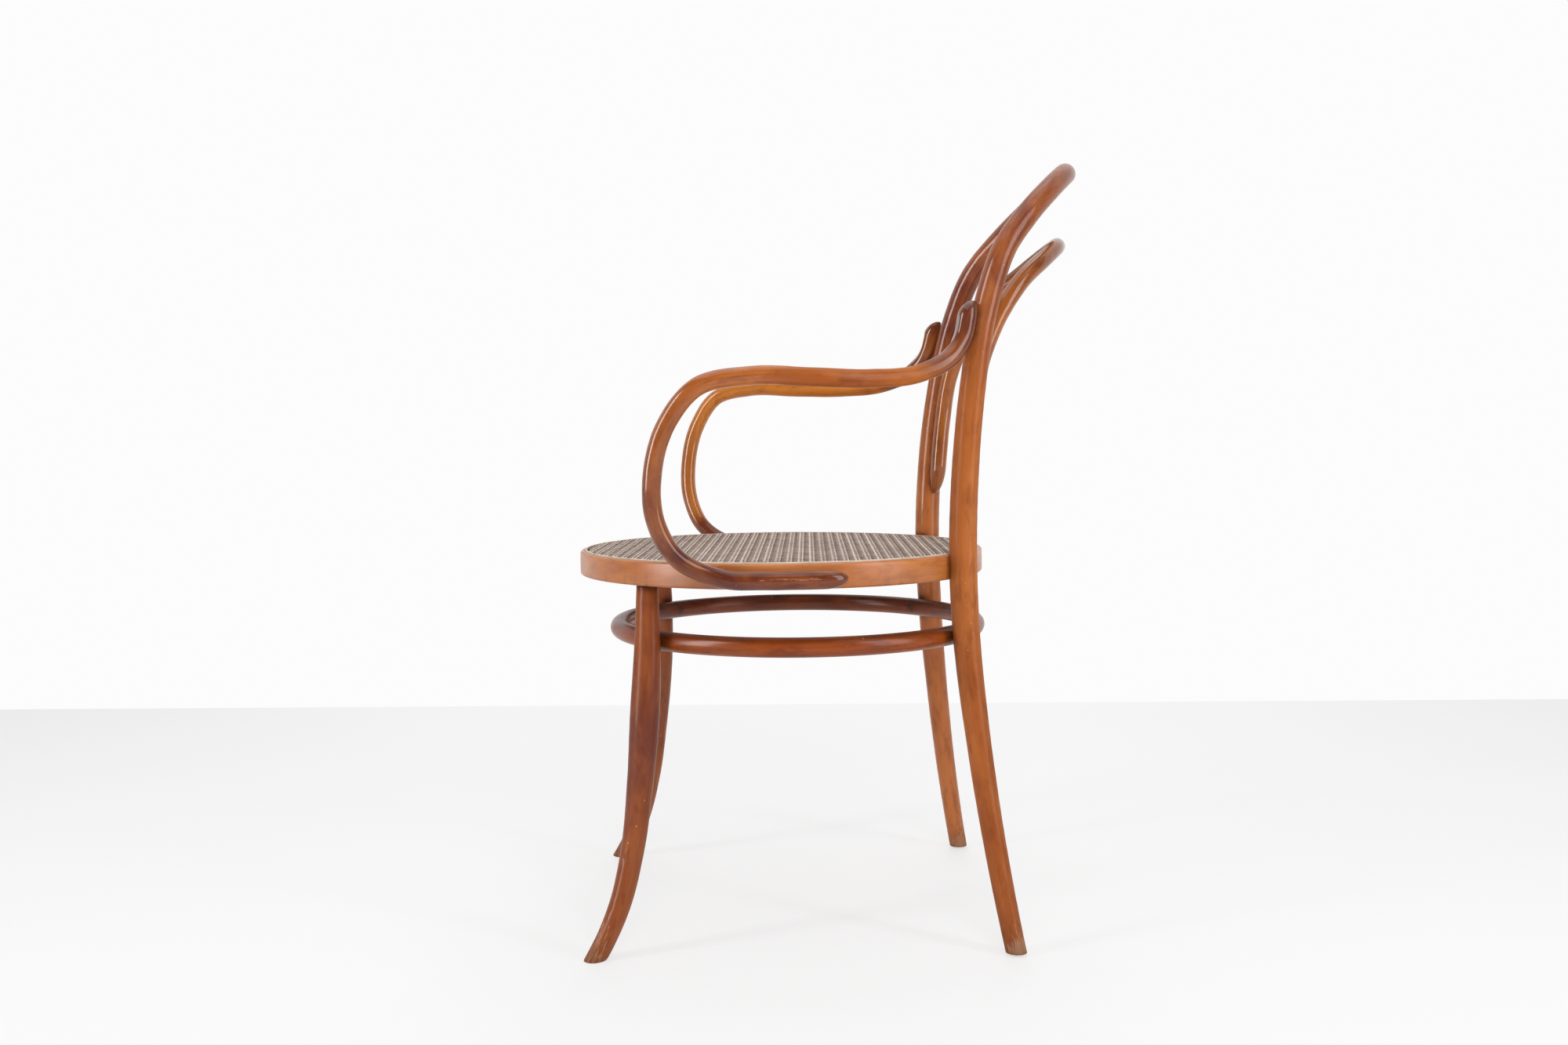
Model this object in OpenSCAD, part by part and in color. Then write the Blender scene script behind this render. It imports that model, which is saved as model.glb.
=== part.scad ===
// Bentwood armchair: round rods bent into a frame, a round seat ring with a cane panel,
// a ring stretcher inside the legs and two looped arms. Millimetres, +Z up, floor at zero.
// The sitter faces -Y, so the sitter's left is +X.

/* [Seat ring] */
// Height of the ring's top face above the floor
seat_height = 459; // [430:1:490]
// Outer radius of the round ring
seat_radius = 255; // [240:1:270]
// Width of the ring in plan
ring_width = 38; // [34:1:44]
// Depth of the ring, top face to underside
ring_depth = 29; // [26:1:36]
// Radius of the ring's rounded edges
ring_edge_radius = 4; // [2:0.5:6]

/* [Cane panel] */
// Thickness of the woven panel
cane_thickness = 1.6; // [1:0.1:2.5]
// Distance between the middles of neighbouring gaps
cane_pitch = 26; // [25:0.5:40]
// Width of one eight-sided gap, flat to flat
cane_gap = 15; // [6:0.5:19]
// Turn of the weave against the chair's middle line
cane_turn = -4.3; // [-8:0.1:8]
// Plain border of the panel inside the ring
cane_border = 5; // [2:0.5:15]
// Distance from the ring's rim to the groove that holds the panel
groove_inset = 5.8; // [5:0.1:8]
// Width of the groove
groove_width = 4.6; // [4:0.1:6]
// Depth of the groove
groove_depth = 5.5; // [4:0.1:8]
// Thickness of the panel's edge where it is tucked into the groove
lip_thickness = 1.2; // [0.8:0.1:1.6]
// How far the binding stands above the ring's top face
binding_rise = 1.6; // [1:0.1:2.5]

/* [Back frame] */
// Height of the rod's middle line at the top of the hoop, above the seat
hoop_top_rise = 468; // [430:1:510]
// How far the top of the hoop lies behind the ring's rim
hoop_top_setback = 109; // [80:1:130]
// Turn of the hoop's top against the seat, which the bending by hand has left
back_turn = 3.6; // [0:0.1:4.5]
// How far inside the ring's rim the rear feet stand, sideways
rear_foot_inset = 28; // [10:1:45]
// How far behind the ring's rim the rear feet stand
rear_foot_setback = 6; // [-12:1:25]
// Direction of each upright from the seat's middle, from the side towards the back
upright_angle = 51.6; // [48:0.2:56]
// Radius of the rod at the rear feet
rear_foot_radius = 12.5; // [11:0.1:14]
// Radius of the rod where it passes the seat
upright_radius = 17; // [15:0.1:19]
// Radius of the rod at the top of the hoop
hoop_radius = 13.8; // [12:0.1:15]
// Depth of the notch that seats each upright on the ring
notch_depth = 5; // [3:0.1:7]

/* [Inner hoop] */
// How far the top of the inner hoop lies below the top of the outer hoop
inner_top_drop = 90; // [70:1:110]
// How far the top of the inner hoop lies in front of the top of the outer hoop
inner_top_advance = 10; // [-5:1:25]
// Height above the seat at which the inner hoop's ends stop
inner_end_rise = 75; // [62:1:100]
// Height above the seat at which the inner hoop leaves the uprights
inner_leave_rise = 161; // [150:1:180]
// Radius of the inner hoop's rod
inner_radius = 11.2; // [9.5:0.1:12.5]
// Turn of the hoop's ends round the uprights, towards the back
inner_side_angle = 18; // [0:1:30]

/* [Front legs] */
// How far inside the ring's rim the front feet stand, sideways
front_foot_inset = 39; // [20:1:58]
// How far behind the ring's front rim the front feet stand
front_foot_setback = 29; // [10:1:50]
// Direction of each front leg's top from the seat's middle, from the side towards the front
leg_top_angle = 44.6; // [40:0.2:50]
// Distance from the ring's rim to the middle of the leg's top
leg_top_inset = 23.6; // [21:0.1:25]
// Radius of the leg at its top
leg_top_radius = 12.8; // [11:0.1:14]
// Radius of the leg at its swelling
leg_swell_radius = 17.8; // [15:0.1:19]
// Radius of the leg at its foot
leg_foot_radius = 12.2; // [11:0.1:14]
// Radius of the round tenon on the leg's top
tenon_radius = 10; // [8:0.1:10.5]
// Height of the tenon
tenon_height = 21; // [14:0.5:22]

/* [Ring stretcher] */
// Height of the seat's top face above the stretcher's middle line
stretcher_drop = 98; // [80:1:120]
// How far inside the ring's rim the stretcher's middle line runs, in plan
stretcher_inset = 28; // [23:1:35]
// Radius of the stretcher's rod
stretcher_rod_radius = 11.6; // [10:0.1:13]
// How far the stretcher's middle lies behind the seat's middle
stretcher_y = 20; // [14:0.5:26]
// Direction of each rear leg from the stretcher's middle
stretcher_rear_angle = 49; // [46:0.2:52]
// Direction of each front leg from the stretcher's middle
stretcher_front_angle = 45.7; // [43:0.2:48]

/* [Arms] */
// How far outside the ring's rim the arms' middle lines reach, sideways
arm_spread = 34; // [22:1:45]
// How far behind the ring's front rim the arms' middle lines stop
arm_setback = 107; // [90:1:125]
// How much farther back the loop of the right arm stands
arm_right_lag = 23; // [0:1:30]
// Height of the arm's level run above the seat
arm_run_rise = 208; // [180:1:230]
// Height of the arm's upper end above the seat
arm_top_rise = 277; // [258:1:296]
// Height of the arm's lower run above the ring's underside
arm_low_rise = 11.5; // [11:0.5:16]
// Radius of the arm's rod
arm_radius = 11; // [9.5:0.1:12]
// Radius of the arm's upper end
arm_end_radius = 12.3; // [11:0.1:13.5]
// Turn of the arm's upper end round the upright, towards the front
arm_side_angle = 50; // [40:1:60]
// Length of the rounded tips of arms and inner hoop
tip_length = 15; // [10:0.5:20]

/* [Fasteners] */
// Radius of the bolts that hold the uprights to the ring
bolt_radius = 3; // [2.5:0.1:3.5]
// Radius of the bolts' heads
bolt_head_radius = 6; // [5.5:0.1:6.5]
// Depth of the bolts' heads below the wooden plugs' faces
bolt_sink = 4; // [3:0.1:5]
// Radius of the washers
washer_radius = 8; // [7.5:0.1:9]
// Thickness of the washers
washer_thickness = 1.2; // [0.8:0.1:2]
// Radius across the corners of the nuts
nut_radius = 5.8; // [5.5:0.1:6.5]
// Thickness of the nuts
nut_thickness = 5; // [4:0.1:6]
// Length of bolt that shows past each nut
bolt_tail = 2; // [1:0.5:5]
// Radius of the wood screws
screw_radius = 2.2; // [1.8:0.1:2.6]
// Radius of the screws' heads
screw_head_radius = 4; // [3.5:0.1:4.5]
// Width of the slots in the heads
slot_width = 1; // [0.6:0.1:1.4]
// Depth of the slots in the heads
slot_depth = 1.1; // [0.6:0.1:1.4]
// Length of the screws through the stretcher
stretcher_screw_length = 38; // [32:1:42]
// Length of the screws through the seat ring into the arms
arm_seat_screw_length = 50; // [45:1:54]
// Length of the screws through the uprights into the arms
arm_top_screw_length = 38; // [34:1:40]
// Radius of the dowels that hold the inner hoop
dowel_radius = 3; // [2.5:0.1:3.5]
// Length of the dowels
dowel_length = 18; // [12:1:22]

/* [Hidden] */
$fn = 48;

// Air between round pieces that lie against each other
touch_gap = 0.4;
// Air round pins, bolts and tucked edges
fit_gap = 0.15;
// Air between the shanks of screws and bolts and the wood round them
shank_gap = 0.3;
// How far every cut runs past the face it cuts
overrun = 2;
// Sides of the thick rods and of the thinner ones
rod_sides = 16;
thin_rod_sides = 14;
// Rings of facets between two points of a rod's middle line
rod_steps = 3;

seat_underside = seat_height - ring_depth;
ring_inner_radius = seat_radius - ring_width;
bolt_z = seat_height - ring_depth / 2;
stretcher_z = seat_height - stretcher_drop;
stretcher_radius = seat_radius - stretcher_inset;

// Basic sums

function mix(a, b, share) = a + (b - a) * share;
function mix_point(p, q, share) = [mix(p.x, q.x, share.x), mix(p.y, q.y, share.y), mix(p.z, q.z, share.z)];
function unit(v) = v / norm(v);
function last(list) = list[len(list) - 1];
function backwards(list) = [for (i = [len(list) - 1:-1:0]) list[i]];
function spoke(angle, distance, y, z) = [distance * cos(angle), y + distance * sin(angle), z];

// Smooth curve through a list of points, with the radius at each step

function lengths(points) = [for (i = [1:len(points) - 1]) norm(points[i] - points[i - 1])];
function chords(points) = [for (i = [1:len(points) - 1]) unit(points[i] - points[i - 1])];
function slope(chord, size, i) =
    (chord[i - 1] * size[i] + chord[i] * size[i - 1]) / (size[i - 1] + size[i]);
function slopes(points) =
    let (chord = chords(points), size = lengths(points), end = len(points) - 1)
    [for (i = [0:end])
        i == 0 ? 2 * chord[0] - slope(chord, size, 1)
        : i == end ? 2 * chord[end - 1] - slope(chord, size, end - 1)
        : slope(chord, size, i)];
function blend(p, q, p_slope, q_slope, size, t) =
    (1 + 2 * t) * pow(1 - t, 2) * p + t * pow(1 - t, 2) * size * p_slope
    + t * t * (3 - 2 * t) * q + t * t * (t - 1) * size * q_slope;
function curve(points, steps) =
    let (size = lengths(points), way = slopes(points))
    concat(
        [for (i = [0:len(points) - 2], k = [0:steps - 1])
            blend(points[i], points[i + 1], way[i], way[i + 1], size[i], k / steps)],
        [last(points)]);
function spread(radii, steps) =
    concat([for (i = [0:len(radii) - 2], k = [0:steps - 1]) mix(radii[i], radii[i + 1], k / steps)],
        [last(radii)]);

// Rings of points square to the curve, carried along it without twist

function directions(line) =
    [for (i = [0:len(line) - 1]) unit(line[min(i + 1, len(line) - 1)] - line[max(i - 1, 0)])];
function carried(way, i, side) =
    i == len(way) ? []
    : let (here = unit(side - (side * way[i]) * way[i])) concat([here], carried(way, i + 1, here));
function ring(middle, way, side, radius, sides) =
    [for (k = [0:sides - 1])
        middle + radius * (cos(360 * k / sides) * side + sin(360 * k / sides) * cross(way, side))];
function rings(line, radii, first_side, sides) =
    let (way = directions(line), side = carried(way, 0, first_side))
    [for (i = [0:len(line) - 1]) ring(line[i], way[i], side[i], radii[i], sides)];

// A ring slid along the rod until it lies in one level plane

function levelled(points, way, level) = [for (p = points) p - way * (p.z - level) / way.z];

// Extra middle points and radii that round off a rod's end

tip_turns = [25, 50, 70, 84];
function tip_line(end, way) = [for (a = tip_turns) end + way * tip_length * sin(a)];
function tip_radii(radius) = [for (a = tip_turns) radius * cos(a)];

module skin(loops) {
    sides = len(loops[0]);
    count = len(loops);
    polyhedron(
        points = [for (loop = loops, p = loop) p],
        faces = concat(
            [[for (k = [0:sides - 1]) k]],
            [for (i = [0:count - 2], k = [0:sides - 1])
                [i * sides + k, (i + 1) * sides + k, i * sides + (k + 1) % sides]],
            [for (i = [0:count - 2], k = [0:sides - 1])
                [i * sides + (k + 1) % sides, (i + 1) * sides + k, (i + 1) * sides + (k + 1) % sides]],
            [[for (k = [sides - 1:-1:0]) (count - 1) * sides + k]]));
}

// Back frame: one rod runs up one rear leg, over the hoop and down the other leg

rear_foot = [seat_radius - rear_foot_inset, seat_radius + rear_foot_setback, 0];
rear_radius_at_stretcher = mix(rear_foot_radius, upright_radius, 0.9);
rear_at_stretcher = spoke(stretcher_rear_angle,
    stretcher_radius + stretcher_rod_radius + touch_gap + rear_radius_at_stretcher,
    stretcher_y, stretcher_z);
upright_distance = seat_radius + upright_radius - notch_depth;
rear_at_seat = spoke(upright_angle, upright_distance, 0, bolt_z);
hoop_top = [0, seat_radius + hoop_top_setback, seat_height + hoop_top_rise];

// Shares of the way from the foot to the stretcher, then from the seat to the top of the hoop
rear_leg_shares = [[0.4, 0.43, 0.333], [0.76, 0.76, 0.667]];
hoop_shares = [[0.012, 0.018, 0.218], [0.024, 0.082, 0.425], [0.048, 0.205, 0.633], [0.102, 0.374, 0.778],
    [0.217, 0.582, 0.865], [0.422, 0.787, 0.934], [0.7, 0.939, 0.981]];
rear_leg_radius_shares = [0, 0.25, 0.55];
hoop_radius_shares = [0.12, 0.35, 0.52, 0.68, 0.8, 0.9, 1, 1];

// The turn grows from the seat to the top, and moves the right side back and the left one forward
turn_growth = 2.4;
function turn_rate(z) = tan(back_turn) * pow(max(z - seat_height, 0) / hoop_top_rise, turn_growth);
function turned(p) = p - [0, turn_rate(p.z) * p.x, 0];

back_half_points = concat([rear_foot],
    [for (s = rear_leg_shares) mix_point(rear_foot, rear_at_stretcher, s)],
    [rear_at_stretcher, rear_at_seat],
    [for (s = hoop_shares) mix_point(rear_at_seat, hoop_top, s)],
    [hoop_top]);
back_half_radii = concat(
    [for (s = rear_leg_radius_shares) mix(rear_foot_radius, upright_radius, s)],
    [rear_radius_at_stretcher, upright_radius],
    [for (s = hoop_radius_shares) mix(upright_radius, hoop_radius, s)]);
back_points = concat(back_half_points, [for (i = [len(back_half_points) - 2:-1:0])
    [-back_half_points[i].x, back_half_points[i].y, back_half_points[i].z]]);
back_radii = concat(back_half_radii, [for (i = [len(back_half_radii) - 2:-1:0]) back_half_radii[i]]);
back_line = curve(back_points, rod_steps);
turned_back_line = [for (p = back_line) turned(p)];
back_line_radii = spread(back_radii, rod_steps);
back_way = directions(turned_back_line);
back_rings = rings(turned_back_line, back_line_radii, [0, 1, 0], rod_sides);
back_loops = [for (i = [0:len(back_rings) - 1])
    i == 0 || i == len(back_rings) - 1 ? levelled(back_rings[i], back_way[i], 0) : back_rings[i]];

// The part stands on its feet with the middle of its outline over the origin
shift_y = (seat_radius - max([for (loop = back_rings, p = loop) p.y])) / 2;

// Middle and radius of an upright at one height, before the turn, as on the sitter's left
half_count = (len(back_line) - 1) / 2;
function upright_at(z) = [
    lookup(z, [for (i = [0:half_count]) [back_line[i].z, back_line[i].x]]),
    lookup(z, [for (i = [0:half_count]) [back_line[i].z, back_line[i].y]]),
    z];
function upright_radius_at(z) = lookup(z, [for (i = [0:half_count]) [back_line[i].z, back_line_radii[i]]]);

// How far the turn moves an upright: side is 1 on the sitter's left and -1 on the right
function upright_shift(z, side) = [0, -side * turn_rate(z) * upright_at(z).x, 0];

// A point beside that upright, square to its slope, in the direction of the angle
probe = 5;
function beside(z, angle, distance) =
    let (way = unit(upright_at(z + probe) - upright_at(z - probe)), out = [cos(angle), sin(angle), 0])
    upright_at(z) + distance * unit(out - (out * way) * way);

// Inner hoop: its ends lie along the inside of the uprights

function inner_side(z) =
    beside(z, 180 - inner_side_angle, upright_radius_at(z) + inner_radius + touch_gap);
inner_end_z = seat_height + inner_end_rise;
inner_leave_z = seat_height + inner_leave_rise;
inner_top = hoop_top - [0, inner_top_advance, inner_top_drop];
inner_leave = inner_side(inner_leave_z);
inner_shares = [[0.035, 0.07, 0.276], [0.08, 0.244, 0.53], [0.208, 0.498, 0.746], [0.486, 0.788, 0.899],
    [0.736, 0.939, 0.972]];
inner_half_points = concat(
    [inner_side(inner_end_z), inner_side(mix(inner_end_z, inner_leave_z, 0.5)), inner_leave],
    [for (s = inner_shares) mix_point(inner_leave, inner_top, s)],
    [inner_top]);
inner_points = concat(inner_half_points, [for (i = [len(inner_half_points) - 2:-1:0])
    [-inner_half_points[i].x, inner_half_points[i].y, inner_half_points[i].z]]);
inner_body = [for (p = curve(inner_points, rod_steps)) turned(p)];
inner_way = directions(inner_body);
inner_line = concat(backwards(tip_line(inner_body[0], -inner_way[0])), inner_body,
    tip_line(last(inner_body), last(inner_way)));
inner_line_radii = concat(backwards(tip_radii(inner_radius)), [for (p = inner_body) inner_radius],
    tip_radii(inner_radius));

// Front leg on the sitter's left, from foot to shoulder

leg_foot = [seat_radius - front_foot_inset, front_foot_setback - seat_radius, 0];
leg_radius_at_stretcher = mix(leg_top_radius, leg_swell_radius, 0.6);
leg_at_stretcher = spoke(-stretcher_front_angle,
    stretcher_radius + stretcher_rod_radius + touch_gap + leg_radius_at_stretcher,
    stretcher_y, stretcher_z);
leg_top = spoke(-leg_top_angle, seat_radius - leg_top_inset, 0, seat_underside);
leg_shares = [[0.35, 0.45, 0.167], [0.6, 0.68, 0.333], [0.76, 0.84, 0.556], [0.87, 0.94, 0.778]];
leg_radius_shares = [0.18, 0.36, 0.68, 1];
leg_points = concat([leg_foot], [for (s = leg_shares) mix_point(leg_foot, leg_at_stretcher, s)],
    [leg_at_stretcher, leg_top]);
leg_radii = concat([leg_foot_radius], [for (s = leg_radius_shares) mix(leg_foot_radius, leg_swell_radius, s)],
    [leg_radius_at_stretcher, leg_top_radius]);
leg_line = curve(leg_points, rod_steps);
leg_way = directions(leg_line);
leg_rings = rings(leg_line, spread(leg_radii, rod_steps), [0, 1, 0], rod_sides);
leg_loops = [for (i = [0:len(leg_rings) - 1])
    i == 0 ? levelled(leg_rings[i], leg_way[i], 0)
    : i == len(leg_rings) - 1 ? levelled(leg_rings[i], leg_way[i], seat_underside - touch_gap / 2)
    : leg_rings[i]];

// Arm, from its upper end on the upright to its lower end on the ring, as on the sitter's left

arm_touch = seat_radius + arm_radius + 2 * touch_gap;
arm_out_x = seat_radius + arm_spread;
arm_front_y = seat_radius - arm_setback;
arm_run_z = seat_height + arm_run_rise;
arm_top_z = seat_height + arm_top_rise;
arm_low_z = seat_underside + arm_low_rise;
function arm_side(z, side) = upright_shift(z, side)
    + beside(z, -arm_side_angle, upright_radius_at(z) + arm_end_radius + touch_gap);
arm_low_angles = [-5.4, 4, 11.2];
arm_screw_angles = [-4, 7];
arm_shares = [[0.655, -1.3, 1.105], [0.722, -1.04, 1.018], [0.818, -0.642, 0.99], [0.902, -0.203, 0.996],
    [0.958, 0.27, 1.003], [0.99, 0.671, 0.947], [1, 0.893, 0.77], [0.993, 1, 0.527], [0.972, 0.985, 0.305],
    [0.941, 0.845, 0.128], [0.903, 0.486, 0.008]];
arm_side_shares = [1, 0.84, 0.7];

// The right arm leaves its upright where the turn has put it, and its loop lags at the front
arm_leave_z = mix(arm_low_z, arm_run_z, arm_shares[0].z);
arm_rear_lag = 2 * turn_rate(arm_leave_z) * upright_at(arm_leave_z).x;
function arm_lag(share) = share > 0 ? arm_right_lag * share : arm_rear_lag * share / arm_shares[0].y;
function arm_place(s, side) =
    [arm_out_x * s.x, (side < 0 ? arm_lag(s.y) : 0) - arm_front_y * s.y, mix(arm_low_z, arm_run_z, s.z)];
function arm_points(side) = concat([for (s = arm_side_shares) arm_side(mix(arm_run_z, arm_top_z, s), side)],
    [for (s = arm_shares) arm_place(s, side)],
    [for (a = arm_low_angles) spoke(a, arm_touch, 0, arm_low_z)]);
arm_radii = concat([for (s = arm_side_shares) arm_end_radius], [mix(arm_end_radius, arm_radius, 0.6)],
    [for (i = [2:len(arm_shares)]) arm_radius], [for (a = arm_low_angles) arm_radius]);
arm_line_radii = concat(backwards(tip_radii(arm_end_radius)), spread(arm_radii, rod_steps),
    tip_radii(arm_radius));
function arm_line(side) =
    let (body = curve(arm_points(side), rod_steps), way = directions(body))
    concat(backwards(tip_line(body[0], -way[0])), body, tip_line(last(body), last(way)));

// Places of the fasteners

washer_seat = sqrt(pow(ring_inner_radius, 2) - pow(washer_radius, 2)) - fit_gap;
plug_face = upright_distance + sqrt(pow(upright_radius, 2) - pow(bolt_head_radius, 2)) - fit_gap;
bolt_head_face = plug_face - bolt_sink;
bolt_end = washer_seat - washer_thickness - fit_gap - nut_thickness - bolt_tail;
stretcher_screw_face = stretcher_radius
    - sqrt(pow(stretcher_rod_radius, 2) - pow(screw_head_radius, 2)) + fit_gap;
arm_seat_screw_face = ring_inner_radius + fit_gap;
arm_top_screw_z = mix(arm_run_z, arm_top_z, 0.84);
arm_top_screw_face = -sqrt(pow(upright_radius_at(arm_top_screw_z), 2) - pow(screw_head_radius, 2)) + fit_gap;
dowel_heights = [for (share = [0.3, 0.8]) mix(inner_end_z, inner_leave_z, share)];

// Shapes shared by several pieces

module at_seat() {
    translate([0, shift_y, 0]) children();
}

module on_right() {
    mirror([1, 0, 0]) children();
}

// Children are drawn on one side of the chair, and $side tells them which: 1 is the sitter's left

module left_side() {
    $side = 1;
    children();
}

module right_side() {
    $side = -1;
    on_right() children();
}

module both_sides() {
    left_side() children();
    right_side() children();
}

// Children lie along +X, pointing away from a middle
module on_spoke(middle, angle) {
    translate(middle) rotate([0, 0, angle]) children();
}

// A slotted screw along +X with the face of its countersunk head at zero
module slotted_screw(length, radius, head_radius) {
    cone = head_radius - radius;
    difference() {
        rotate([0, 90, 0]) rotate_extrude() polygon([[0, 0], [head_radius, 0], [radius, cone],
            [radius, length - radius * 2], [radius / 4, length], [0, length]]);
        translate([-overrun, -slot_width / 2, -head_radius - overrun])
            cube([slot_depth + overrun, slot_width, 2 * (head_radius + overrun)]);
    }
}

// The hole for such a screw, open towards -X, with a mouth past the head's face
module screw_hole(length, radius, head_radius, mouth) {
    cone = head_radius - radius;
    rotate([0, 90, 0]) rotate_extrude() polygon([[0, -mouth], [head_radius + fit_gap, -mouth],
        [head_radius + fit_gap, 0], [radius + shank_gap, cone], [radius + shank_gap, length + fit_gap],
        [0, length + fit_gap]]);
}

module pin(radius, from, to) {
    translate([from, 0, 0]) rotate([0, 90, 0]) cylinder(h = to - from, r = radius);
}

// Holes and fasteners of one side

module stretcher_screw_hole(angle) {
    on_spoke([0, stretcher_y, stretcher_z], angle) translate([stretcher_screw_face, 0, 0])
        screw_hole(stretcher_screw_length, screw_radius, screw_head_radius, screw_head_radius);
}

module stretcher_screw(angle) {
    on_spoke([0, stretcher_y, stretcher_z], angle) translate([stretcher_screw_face, 0, 0])
        slotted_screw(stretcher_screw_length, screw_radius, screw_head_radius);
}

module back_bolt_hole() {
    on_spoke([0, 0, bolt_z], upright_angle) translate([bolt_head_face, 0, 0]) mirror([1, 0, 0])
        screw_hole(bolt_head_face - bolt_end, bolt_radius, bolt_head_radius, bolt_sink + bolt_head_radius);
}

module arm_top_screw_hole() {
    on_spoke(upright_at(arm_top_screw_z) + upright_shift(arm_top_screw_z, $side), -arm_side_angle)
        translate([arm_top_screw_face, 0, 0])
        screw_hole(arm_top_screw_length, screw_radius, screw_head_radius, screw_head_radius);
}

module arm_seat_screw_holes() {
    for (a = arm_screw_angles) on_spoke([0, 0, arm_low_z], a) translate([arm_seat_screw_face, 0, 0])
        screw_hole(arm_seat_screw_length, screw_radius, screw_head_radius, screw_head_radius);
}

module on_dowels() {
    for (z = dowel_heights) on_spoke(upright_at(z) + upright_shift(z, $side), 180 - inner_side_angle)
        translate([upright_radius_at(z) + touch_gap / 2, 0, 0]) children();
}

module dowel_holes() {
    on_dowels() pin(dowel_radius + fit_gap, -dowel_length / 2 - fit_gap, dowel_length / 2 + fit_gap);
}

// Wooden pieces

module back_frame() {
    color("sienna") at_seat() difference() {
        skin(back_loops);
        translate([0, 0, seat_underside - touch_gap])
            cylinder(h = ring_depth + 2 * touch_gap, r = seat_radius + touch_gap, $fn = 180);
        both_sides() {
            back_bolt_hole();
            stretcher_screw_hole(stretcher_rear_angle);
            arm_top_screw_hole();
            dowel_holes();
        }
    }
}

module inner_hoop() {
    color("sienna") at_seat() difference() {
        skin(rings(inner_line, inner_line_radii, [0, 1, 0], thin_rod_sides));
        both_sides() dowel_holes();
    }
}

module ring_profile() {
    edge = ring_edge_radius;
    translate([ring_inner_radius, seat_underside]) {
        translate([edge, 0]) square([ring_width - 2 * edge, ring_depth]);
        translate([0, edge]) square([ring_width, ring_depth - 2 * edge]);
        for (x = [edge, ring_width - edge], z = [edge, ring_depth - edge]) translate([x, z]) circle(r = edge);
    }
}

module groove_profile() {
    translate([seat_radius - groove_inset - groove_width, seat_height - groove_depth])
        square([groove_width, groove_depth + overrun]);
}

module seat_ring() {
    color("peru") at_seat() difference() {
        rotate_extrude($fn = 180) difference() {
            ring_profile();
            groove_profile();
        }
        both_sides() {
            back_bolt_hole();
            arm_seat_screw_holes();
            translate([leg_top.x, leg_top.y, seat_underside - overrun])
                cylinder(h = tenon_height + overrun + fit_gap, r = tenon_radius + fit_gap);
        }
    }
}

module front_leg() {
    difference() {
        union() {
            skin(leg_loops);
            translate([leg_top.x, leg_top.y, seat_underside - overrun])
                cylinder(h = tenon_height + overrun, r = tenon_radius);
        }
        stretcher_screw_hole(-stretcher_front_angle);
    }
}

module front_leg_left() {
    color("sienna") at_seat() front_leg();
}

module front_leg_right() {
    color("sienna") at_seat() on_right() front_leg();
}

module stretcher_ring() {
    color("saddlebrown") at_seat() difference() {
        translate([0, stretcher_y, stretcher_z])
            rotate_extrude($fn = 180) translate([stretcher_radius, 0]) circle(r = stretcher_rod_radius);
        both_sides() {
            stretcher_screw_hole(stretcher_rear_angle);
            stretcher_screw_hole(-stretcher_front_angle);
        }
    }
}

module arm() {
    difference() {
        skin(rings(arm_line($side), arm_line_radii, [0, 1, 0], thin_rod_sides));
        arm_top_screw_hole();
        arm_seat_screw_holes();
    }
}

module arm_left() {
    color("sienna") at_seat() left_side() arm();
}

module arm_right() {
    color("sienna") at_seat() right_side() arm();
}

// Cane panel and its binding

lip_inner = seat_radius - groove_inset - groove_width + fit_gap;
lip_outer = lip_inner + lip_thickness;
cane_gap_corner = cane_gap / 2 / cos(22.5);
cane_reach = ring_inner_radius - cane_border - cane_gap_corner;
cane_rows = floor(cane_reach / cane_pitch);

module cane_seat() {
    color("tan") at_seat() translate([0, 0, seat_height])
        linear_extrude(height = cane_thickness) difference() {
            circle(r = lip_outer, $fn = 180);
            rotate(cane_turn) for (i = [-cane_rows:cane_rows], j = [-cane_rows:cane_rows])
                if (norm([i, j]) * cane_pitch < cane_reach)
                    translate([i, j] * cane_pitch) rotate(22.5) circle(r = cane_gap_corner, $fn = 8);
        }
}

// The panel's edge strands, turned down into the groove
module cane_edge() {
    color("tan") at_seat() rotate_extrude($fn = 180)
        translate([lip_inner, seat_height - groove_depth + fit_gap])
            square([lip_thickness, groove_depth - fit_gap]);
}

module cane_binding() {
    inner = lip_outer + fit_gap;
    outer = seat_radius - groove_inset - fit_gap;
    bevel = (outer - inner) / 3;
    bottom = seat_height - groove_depth + fit_gap;
    top = seat_height + binding_rise;
    color("peru") at_seat() rotate_extrude($fn = 180) polygon([[inner, bottom], [outer, bottom],
        [outer, top - bevel], [outer - bevel, top], [inner + bevel, top], [inner, top - bevel]]);
}

// Fasteners

module back_bolt() {
    on_spoke([0, 0, bolt_z], upright_angle) translate([bolt_head_face, 0, 0]) mirror([1, 0, 0])
        slotted_screw(bolt_head_face - bolt_end, bolt_radius, bolt_head_radius);
}

// Covers the head of the bolt
module bolt_plug() {
    on_spoke([0, 0, bolt_z], upright_angle) pin(bolt_head_radius, bolt_head_face + fit_gap, plug_face);
}

module back_washer() {
    on_spoke([0, 0, bolt_z], upright_angle) difference() {
        pin(washer_radius, washer_seat - washer_thickness, washer_seat);
        pin(bolt_radius + fit_gap, washer_seat - washer_thickness - overrun, washer_seat + overrun);
    }
}

module back_nut() {
    nut_face = washer_seat - washer_thickness - fit_gap;
    on_spoke([0, 0, bolt_z], upright_angle) difference() {
        translate([nut_face - nut_thickness, 0, 0]) rotate([0, 90, 0])
            cylinder(h = nut_thickness, r = nut_radius, $fn = 6);
        pin(bolt_radius + fit_gap, nut_face - nut_thickness - overrun, nut_face + overrun);
    }
}

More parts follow.
